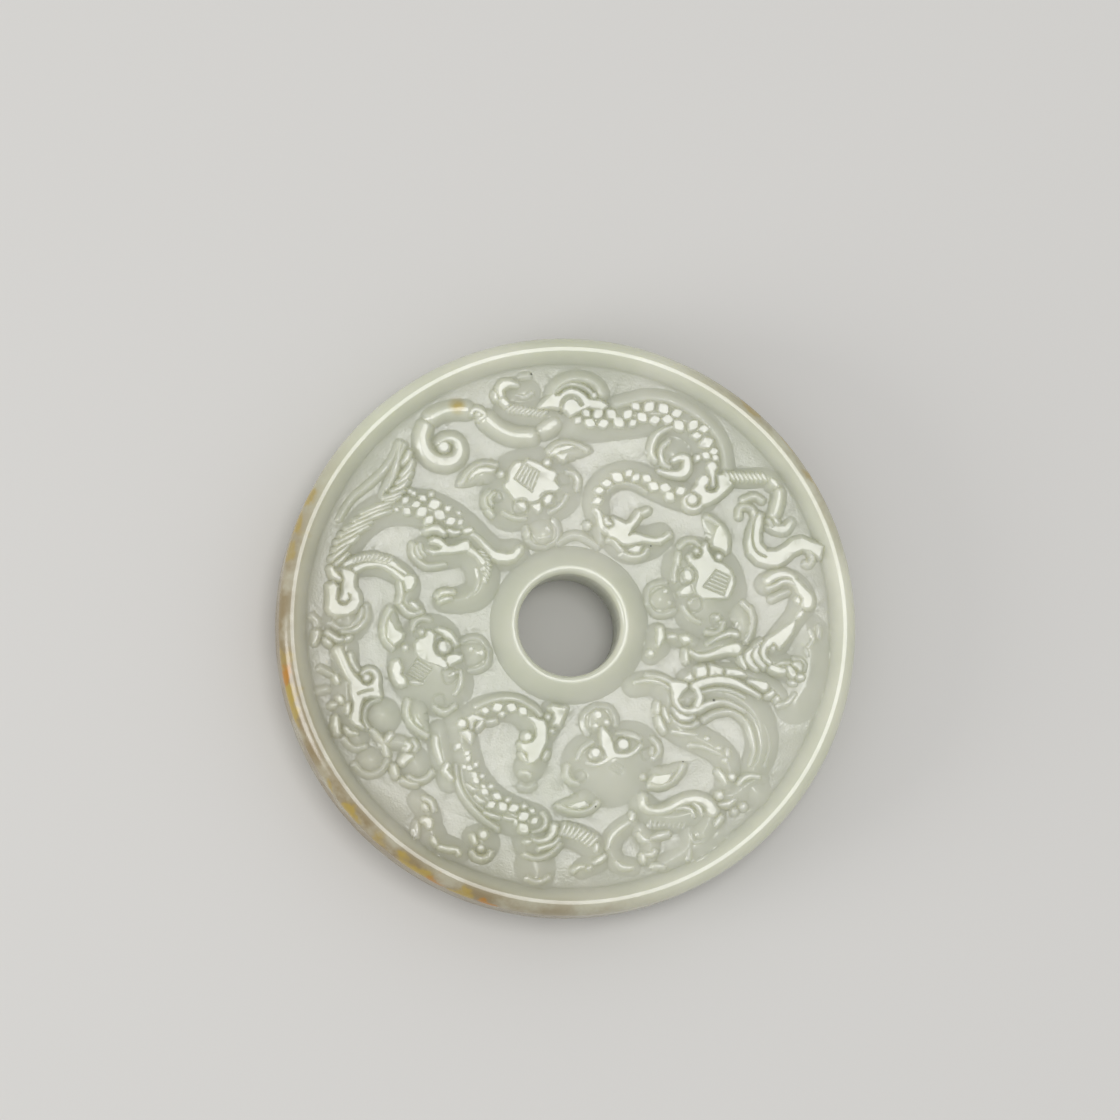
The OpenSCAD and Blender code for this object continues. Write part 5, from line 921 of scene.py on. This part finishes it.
def blank_section():
    """The blank's section outside the carved face, from the collar's top round the back to the lip."""
    mouth = []
    for a in np.radians(np.linspace(90, 180, 2 * ROUND_STEPS + 1)):
        inward = MOUTH_W * abs(math.cos(a)) ** (2 / MOUTH_POWER)
        up = MOUTH_DEEP * abs(math.sin(a)) ** (2 / MOUTH_POWER)
        mouth.append((COLLAR_TOP_R - inward, DISC_T - MOUTH_DEEP + up))
    back_mouth = quarter_round((HOLE_R + BACK_MOUTH_ROUND, BACK_MOUTH_ROUND), BACK_MOUTH_ROUND, 180, 270)
    back_edge = quarter_round((DISC_R - BACK_ROUND, BACK_ROUND), BACK_ROUND, -90, 0)
    end = math.radians(90 - LIP_EDGE_ANGLE)
    r = LIP_ROUND / (1 - math.cos(end))
    lip = quarter_round((DISC_R - r, DISC_T - r * math.sin(end)), r, 0, 90 - LIP_EDGE_ANGLE)
    return mouth + back_mouth + back_edge + lip


def face_height(r):
    """Height of the blank's face at a radius, before the carving is added."""
    radii = [COLLAR_EDGE_R, COLLAR_FOOT_R, FIELD_R, FIELD_R + GROOVE_W / 2, SLOPE_FOOT_R, SLOPE_TOP_R]
    heights = [DISC_T, FIELD_Z, FIELD_Z, GROOVE_Z, GROOVE_Z, DISC_T]
    return np.interp(r, radii, heights)


def ring_points(r, z, count):
    a = np.arange(count) * 2 * math.pi / count
    return np.stack([r * np.cos(a), r * np.sin(a), np.full(count, z)], axis=1)


def zipped(first, n, second, m):
    """Triangles between two rings of n and m points, whose points start at first and second. With the
    rings in the order of disc_mesh, they face into the stone."""
    out = []
    i = 0
    j = 0
    while i < n or j < m:
        if (i + 1) * m <= (j + 1) * n:
            out.append((first + i % n, second + j % m, first + (i + 1) % n))
            i += 1
        else:
            out.append((first + i % n, second + j % m, second + (j + 1) % m))
            j += 1
    return out


def disc_mesh():
    """The whole disc as one closed mesh: fine rings on the carved face, plain ones elsewhere."""
    steps = math.ceil((SLOPE_TOP_R - COLLAR_TOP_R) / CELL)
    radii = np.linspace(SLOPE_TOP_R, COLLAR_TOP_R, steps + 1)
    face = [ring_points(r, 0, round(2 * math.pi * r / CELL)) for r in radii]
    points = np.vstack(face)
    drawn = (points[:, :2] - CARVING_OFF) / UNIT
    relief = Relief(drawn[:, 0], drawn[:, 1]).carve()
    base = face_height(np.hypot(points[:, 0], points[:, 1]))
    points[:, 2] = np.where(relief > 0, np.maximum(base, FIELD_Z + RELIEF_H * relief), base)
    section = blank_section()[1:]
    plain = [ring_points(r, z, PLAIN_POINTS) for r, z in section]
    counts = [len(ring) for ring in face + plain]
    starts = np.concatenate([[0], np.cumsum(counts)])
    triangles = []
    for k, n in enumerate(counts):
        after = (k + 1) % len(counts)
        triangles += zipped(starts[k], n, starts[after], counts[after])
    mesh = bpy.data.meshes.new("jade_disc")
    mesh.from_pydata(np.vstack([points] + plain) * MM, [], np.array(triangles))
    mesh.update()
    return mesh


def finished(obj):
    """Thins the mesh where it is plain, and shades it with crisp edges round its flat faces."""
    thin = obj.modifiers.new("thin", "DECIMATE")
    thin.ratio = KEPT_TRIANGLES / len(obj.data.polygons)
    shape = obj.evaluated_get(bpy.context.evaluated_depsgraph_get())
    mesh = bpy.data.meshes.new_from_object(shape)
    mesh.name = "jade_disc"
    obj.modifiers.clear()
    obj.data = mesh
    mesh.shade_smooth()
    mesh.set_sharp_from_angle(angle=math.radians(CREASE_ANGLE))


class Nodes:
    """Short ways to add shader nodes to a material."""

    def __init__(self, material):
        material.use_nodes = True
        self.tree = material.node_tree
        self.tree.nodes.clear()

    def feed(self, socket, value):
        if isinstance(value, bpy.types.NodeSocket):
            self.tree.links.new(value, socket)
        elif value is not None:
            socket.default_value = value

    def add(self, kind, settings=None, **inputs):
        node = self.tree.nodes.new(kind)
        for name, value in (settings or {}).items():
            setattr(node, name, value)
        for name, value in inputs.items():
            self.feed(node.inputs[name.replace("_", " ")], value)
        return node

    def math(self, operation, a, b=0.0):
        node = self.add("ShaderNodeMath", {"operation": operation})
        self.feed(node.inputs[0], a)
        self.feed(node.inputs[1], b)
        return node.outputs[0]

    def vector(self, operation, *values):
        node = self.add("ShaderNodeVectorMath", {"operation": operation})
        for socket, value in zip(node.inputs, values):
            self.feed(socket, value)
        return node.outputs[0]

    def ramp(self, value, start, end, low=0.0, high=1.0):
        """Smooth step of a value from start to end, between low and high."""
        node = self.add("ShaderNodeMapRange", {"interpolation_type": "SMOOTHSTEP"})
        for socket, given in zip(node.inputs, (value, start, end, low, high)):
            self.feed(socket, given)
        return node.outputs[0]

    def blend(self, share, first, second):
        """Colour between first and second."""
        node = self.add("ShaderNodeMix", {"data_type": "RGBA"})
        self.feed(node.inputs["Factor"], share)
        colours = [socket for socket in node.inputs if socket.type == "RGBA"]
        self.feed(colours[0], first)
        self.feed(colours[1], second)
        return next(socket for socket in node.outputs if socket.type == "RGBA")

    def times(self, *values):
        """Product of all values."""
        product = values[0]
        for value in values[1:]:
            product = self.math("MULTIPLY", product, value)
        return product

    def noise(self, place, scale, detail, roughness, output=0):
        look = dict(Scale=scale, Detail=detail, Roughness=roughness)
        return self.add("ShaderNodeTexNoise", Vector=place, **look).outputs[output]

    def near(self, place, centre, r):
        """1 at a centre, falling to 0 at radius r."""
        node = self.add("ShaderNodeVectorMath", {"operation": "DISTANCE"})
        self.feed(node.inputs[0], place)
        self.feed(node.inputs[1], centre)
        return self.ramp(node.outputs["Value"], r, 0.0)


# Stone colours, as linear red, green, blue
PALE_STONE = (0.50, 0.515, 0.415, 1)
CLOUDY_STONE = (0.56, 0.565, 0.475, 1)
BROWN_SKIN = (0.2, 0.145, 0.06, 1)
GOLD_SKIN = (0.34, 0.24, 0.03, 1)
ORANGE_SKIN = (0.35, 0.15, 0.003, 1)
STAIN = (0.42, 0.31, 0.05, 1)
BLACK_SPOT = (0.03, 0.03, 0.025, 1)
# Noises: scale, detail and roughness of the clouds, of what breaks up the skin, of the pits in the
# ground, of the waviness of the polish, and of what makes the edges of the patches ragged
CLOUDS = (90.0, 3.0, 0.55)
SKIN_BREAKS = (260.0, 4.0, 0.6)
PITS = (4400.0, 2.0, 0.6)
WAVES = (900.0, 2.0, 0.5)
PATCH_WANDER = (520.0, 3.0, 0.5)
# Values of the clouds' noise from which the stone starts to be cloudy and is fully so
CLOUDY_FROM = (0.35, 0.7)

# Middle of the brown skin and of the fainter skin, as angles round the disc, the cosines of the angle
# from there at which it starts and is full, its strength, and its width on the face
SKIN_MIDDLE = 215
SKIN_COSINES = (0.1, 0.9)
SKIN_STRENGTH = 0.95
FAINT_SKIN_MIDDLE = 40
FAINT_SKIN_COSINES = (0.85, 1.0)
FAINT_SKIN_STRENGTH = 0.5
SKIN_W = 2.0
# Noise values between which the skin comes and goes, and the shares of it there
SKIN_BROKEN = (0.3, 0.6, 0.35, 1.0)
# Painted shade: the lower left side is darkened towards the brown skin's colour, where the light falls
# off, from this radius out, growing to this share
LEFT_SHADE_FROM_R = 17
LEFT_SHADE_SHARE = 0.34

# Patches of stronger skin on the rim: angle round the disc, radius of the patch, strength, colour
RIM_PATCHES = [
    (154, 0.9, 0.7, GOLD_SKIN), (160, 1.1, 0.7, GOLD_SKIN), (166, 0.8, 0.5, GOLD_SKIN),
    (187, 0.9, 0.5, GOLD_SKIN), (194, 1, 0.9, GOLD_SKIN), (198, 0.9, 0.8, GOLD_SKIN),
    (190.3, 0.8, 1, ORANGE_SKIN), (214, 0.4, 0.8, GOLD_SKIN), (220.5, 0.6, 0.8, GOLD_SKIN),
    (228, 0.6, 0.5, GOLD_SKIN), (235.5, 1, 0.8, GOLD_SKIN), (239, 0.9, 0.8, GOLD_SKIN),
    (242, 0.5, 0.8, ORANGE_SKIN), (248, 1.1, 0.8, GOLD_SKIN), (253.5, 0.3, 0.9, ORANGE_SKIN),
    (31, 0.9, 0.5, GOLD_SKIN), (40, 0.9, 0.5, GOLD_SKIN), (49, 0.9, 0.5, GOLD_SKIN),
]
# Height of the golden and orange patches as a share of the thickness, how far they fade out beyond
# their radius, the nearness to the middle from which they are full, and how far their edges wander
PATCH_HEIGHT = 0.84
PATCH_FADE = 0.8
PATCH_FULL = 0.55
PATCH_RAGGED = 3.2
# Noise values between which a patch comes, and the middle of a noise's colour
PATCH_BROKEN = (0.3, 0.5)
NOISE_MIDDLE = (0.5, 0.5, 0.5)

# Dark specks in the stone: place on the face, radius
SPECKS = [
    ((14.1, -7.07), 0.22), ((-3.45, 24.7), 0.17), ((2.5, -17.4), 0.15), ((8.1, 7.95), 0.13),
    ((11.1, -13), 0.12),
]
# Yellow stain by the rim, and the noise values between which it comes and goes, with its shares there
STAIN_PLACE = (-10.7, 21.5)
STAIN_R = 1.15
STAIN_BROKEN = (0.3, 0.55, 0.4, 1.0)

# The ground's finish ends between these heights above it, and on slopes between these upward parts of
# the normal
GROUND_TOP = 0.12
GROUND_FULL = 0.02
LEVEL_FROM = (0.5, 0.8)
# Strength and depth, in metres, of the bumps of the pits and of the polish's waviness
PIT_BUMP = dict(Strength=0.65, Distance=0.00004)
WAVE_BUMP = dict(Strength=0.2, Distance=0.00006)
# Noise values and the roughnesses of the polish there, and what the ground adds to it
POLISH_ROUGHNESS = (0.3, 0.7, 0.17, 0.22)
GROUND_ROUGHER = 0.02
# Refraction of nephrite, how far red, green and blue light spread in it, by how many metres, and how
# much less of that the brown skin has
JADE_IOR = 1.61
GLOW_COLOURS = (1.0, 0.98, 0.8)
GLOW_DEPTH = 0.004
SKIN_DULLS = 0.95


def on_carving(place):
    """A place of the drawing, as metres on the disc."""
    return tuple((v * UNIT + off) * MM for v, off in zip(place, CARVING_OFF)) + (0,)


def jade():
    """Nephrite: polished on the raised carving, matte and finely pitted on the sunk ground, cloudy
    inside, with brown skin round part of the rim."""
    material = bpy.data.materials.new("jade")
    n = Nodes(material)
    place = n.add("ShaderNodeTexCoord").outputs["Object"]
    x, y, z = n.add("ShaderNodeSeparateXYZ", Vector=place).outputs
    radius = n.math("SQRT", n.math("ADD", n.times(x, x), n.times(y, y)))
    angle = n.math("ARCTAN2", y, x)

    def side(middle, cosines):
        """1 round the middle angle, falling to 0 at the cosines' start."""
        away = n.math("SUBTRACT", angle, math.radians(middle))
        return n.ramp(n.math("COSINE", away), *cosines)

    clouds = n.noise(place, *CLOUDS)
    colour = n.blend(n.ramp(clouds, *CLOUDY_FROM), PALE_STONE, CLOUDY_STONE)

    # Brown skin lies on the outer edge, strongest on the left and at the bottom left
    breaks = n.noise(place, *SKIN_BREAKS)
    left = side(SKIN_MIDDLE, SKIN_COSINES)
    right = side(FAINT_SKIN_MIDDLE, FAINT_SKIN_COSINES)
    edge = n.ramp(radius, (DISC_R - SKIN_W) * MM, (DISC_R - SKIN_W / 4) * MM)
    sides = n.math("ADD", n.times(left, SKIN_STRENGTH), n.times(right, FAINT_SKIN_STRENGTH))
    amount = n.times(sides, edge, n.ramp(breaks, *SKIN_BROKEN))
    colour = n.blend(amount, colour, BROWN_SKIN)
    # Painted shade: the outer lower left is darkened towards brown, where the light falls off
    painted_left_shade = n.times(n.ramp(radius, LEFT_SHADE_FROM_R * MM, DISC_R * MM), left, LEFT_SHADE_SHARE)
    colour = n.blend(painted_left_shade, colour, BROWN_SKIN)

    # Golden and orange patches with ragged edges
    wander = n.vector("SUBTRACT", n.noise(place, *PATCH_WANDER, "Color"), NOISE_MIDDLE)
    ragged = n.vector("MULTIPLY_ADD", wander, (PATCH_RAGGED * MM,) * 3, place)
    for at, r, strength, tint in RIM_PATCHES:
        a = math.radians(at)
        centre = Vector((math.cos(a), math.sin(a), 0)) * DISC_R
        centre.z = DISC_T * PATCH_HEIGHT
        patch = n.ramp(n.near(ragged, centre * MM, (r + PATCH_FADE) * MM), 0.0, PATCH_FULL)
        patch = n.times(patch, n.ramp(breaks, *PATCH_BROKEN), strength)
        colour = n.blend(patch, colour, tint)

    # The stain and the specks go through the front half
    flat = n.add("ShaderNodeCombineXYZ", X=x, Y=y, Z=0.0).outputs[0]
    front = n.ramp(z, DISC_T / 2 * MM, (DISC_T / 2 + RELIEF_H) * MM)
    stain = n.near(flat, on_carving(STAIN_PLACE), STAIN_R * MM)
    colour = n.blend(n.times(stain, front, n.ramp(breaks, *STAIN_BROKEN)), colour, STAIN)
    for at, r in SPECKS:
        speck = n.near(flat, on_carving(at), r * MM)
        colour = n.blend(n.times(speck, front), colour, BLACK_SPOT)

    # The ground is matte and finely pitted, and what stands above it is polished
    low_down = n.ramp(z, (FIELD_Z + GROUND_TOP) * MM, (FIELD_Z + GROUND_FULL) * MM)
    within = n.ramp(radius, SLOPE_FOOT_R * MM, FIELD_R * MM)
    beyond = n.ramp(radius, HOLE_R * MM, COLLAR_FOOT_R * MM)
    normal = n.add("ShaderNodeNewGeometry").outputs["Normal"]
    upward = n.add("ShaderNodeSeparateXYZ", Vector=normal).outputs[2]
    ground = n.times(low_down, within, beyond, n.ramp(upward, *LEVEL_FROM))
    pits = n.times(n.noise(place, *PITS), ground)
    waves = n.noise(place, *WAVES)
    grain = n.add("ShaderNodeBump", Height=pits, **PIT_BUMP).outputs[0]
    polish = n.add("ShaderNodeBump", Height=waves, Normal=grain, **WAVE_BUMP).outputs[0]

    rougher = n.times(ground, GROUND_ROUGHER)
    stone = n.add(
        "ShaderNodeBsdfPrincipled",
        Base_Color=colour,
        Roughness=n.math("ADD", rougher, n.ramp(waves, *POLISH_ROUGHNESS)),
        IOR=JADE_IOR,
        Subsurface_Weight=n.math("SUBTRACT", 1.0, n.times(edge, left, SKIN_DULLS)),
        Subsurface_Radius=GLOW_COLOURS,
        Subsurface_Scale=GLOW_DEPTH,
        Normal=polish,
    )
    n.add("ShaderNodeOutputMaterial", Surface=stone.outputs[0])
    return material


def carved_disc():
    disc = bpy.data.objects.new("jade_disc", disc_mesh())
    bpy.context.scene.collection.objects.link(disc)
    finished(disc)
    disc.data.materials.append(jade())
    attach(disc, "root")
    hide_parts("carved_disc")


# The photograph is 1120 pixels wide, and the disc's centre and radius in it are these pixels
PHOTO_W = 1120
PHOTO_CENTRE = (565.9, 628)
PHOTO_R = 289.5
# The camera looks down on the face, this many degrees off its axis, from the lower left
CAMERA_TILT = 9.1
CAMERA_SIDE = 225
CAMERA_AWAY = 600
SENSOR_W = 36
CLIP_START = 10


def direction(side, tilt):
    """Unit vector towards a side, in degrees round the disc, tilted from the disc's axis."""
    s = math.radians(side)
    t = math.radians(tilt)
    return Vector((math.sin(t) * math.cos(s), math.sin(t) * math.sin(s), math.cos(t)))


def placed(name, data, place, turn):
    """A new object in the scene, at a place in millimetres."""
    obj = bpy.data.objects.new(name, data)
    obj.location = place * MM
    obj.rotation_mode = "QUATERNION"
    obj.rotation_quaternion = turn
    bpy.context.scene.collection.objects.link(obj)
    return obj


def camera():
    px = DISC_R / PHOTO_R
    towards = direction(CAMERA_SIDE, CAMERA_TILT)
    turn = Vector((0, 0, 1)).rotation_difference(towards)
    right = turn @ Vector((1, 0, 0))
    up = turn @ Vector((0, 1, 0))
    middle = Vector((0, 0, DISC_T / 2))
    half = PHOTO_W / 2
    aim = middle + right * (half - PHOTO_CENTRE[0]) * px + up * (PHOTO_CENTRE[1] - half) * px
    data = bpy.data.cameras.new("camera")
    data.sensor_width = SENSOR_W
    data.lens = SENSOR_W * CAMERA_AWAY / (PHOTO_W * px)
    data.clip_start = CLIP_START * MM
    bpy.context.scene.camera = placed("camera", data, aim + towards * CAMERA_AWAY, turn)


# Soft lights, discs that face the pendant: name, side, tilt off the disc's axis, distance, width and
# power. The first stands opposite the camera, where the flat tops mirror it, and the second fills in
# from the left.
LIGHTS = [
    ("softbox", 45, 9.4, 500, 178, 0.46),
    ("fill", 192, 76, 500, 280, 1.15),
]
WORLD_LIGHT = 0.76
WORLD_COLOUR = (1, 1, 1, 1)
FLOOR_COLOUR = (0.62, 0.61, 0.59, 1)
FLOOR_ROUGHNESS = 0.9
FLOOR_W = 6000


def light(name, side, tilt, away, width, power):
    data = bpy.data.lights.new(name, "AREA")
    data.shape = "DISK"
    data.size = width * MM
    data.energy = power
    towards = direction(side, tilt)
    placed(name, data, towards * away, towards.to_track_quat("Z", "Y"))


def studio():
    for row in LIGHTS:
        light(*row)
    world = bpy.data.worlds.new("studio")
    world.use_nodes = True
    background = world.node_tree.nodes["Background"]
    background.inputs["Color"].default_value = WORLD_COLOUR
    background.inputs["Strength"].default_value = WORLD_LIGHT
    bpy.context.scene.world = world


def floor():
    half = FLOOR_W / 2 * MM
    mesh = bpy.data.meshes.new("floor")
    corners = [(-half, -half, 0), (half, -half, 0), (half, half, 0), (-half, half, 0)]
    mesh.from_pydata(corners, [], [(0, 1, 2, 3)])
    obj = bpy.data.objects.new("floor", mesh)
    material = bpy.data.materials.new("floor")
    n = Nodes(material)
    paper = n.add("ShaderNodeBsdfPrincipled", Base_Color=FLOOR_COLOUR, Roughness=FLOOR_ROUGHNESS)
    n.add("ShaderNodeOutputMaterial", Surface=paper.outputs[0])
    mesh.materials.append(material)
    bpy.context.scene.collection.objects.link(obj)


camera()
studio()
floor()
carved_disc()
bpy.context.scene.view_settings.view_transform = "Standard"
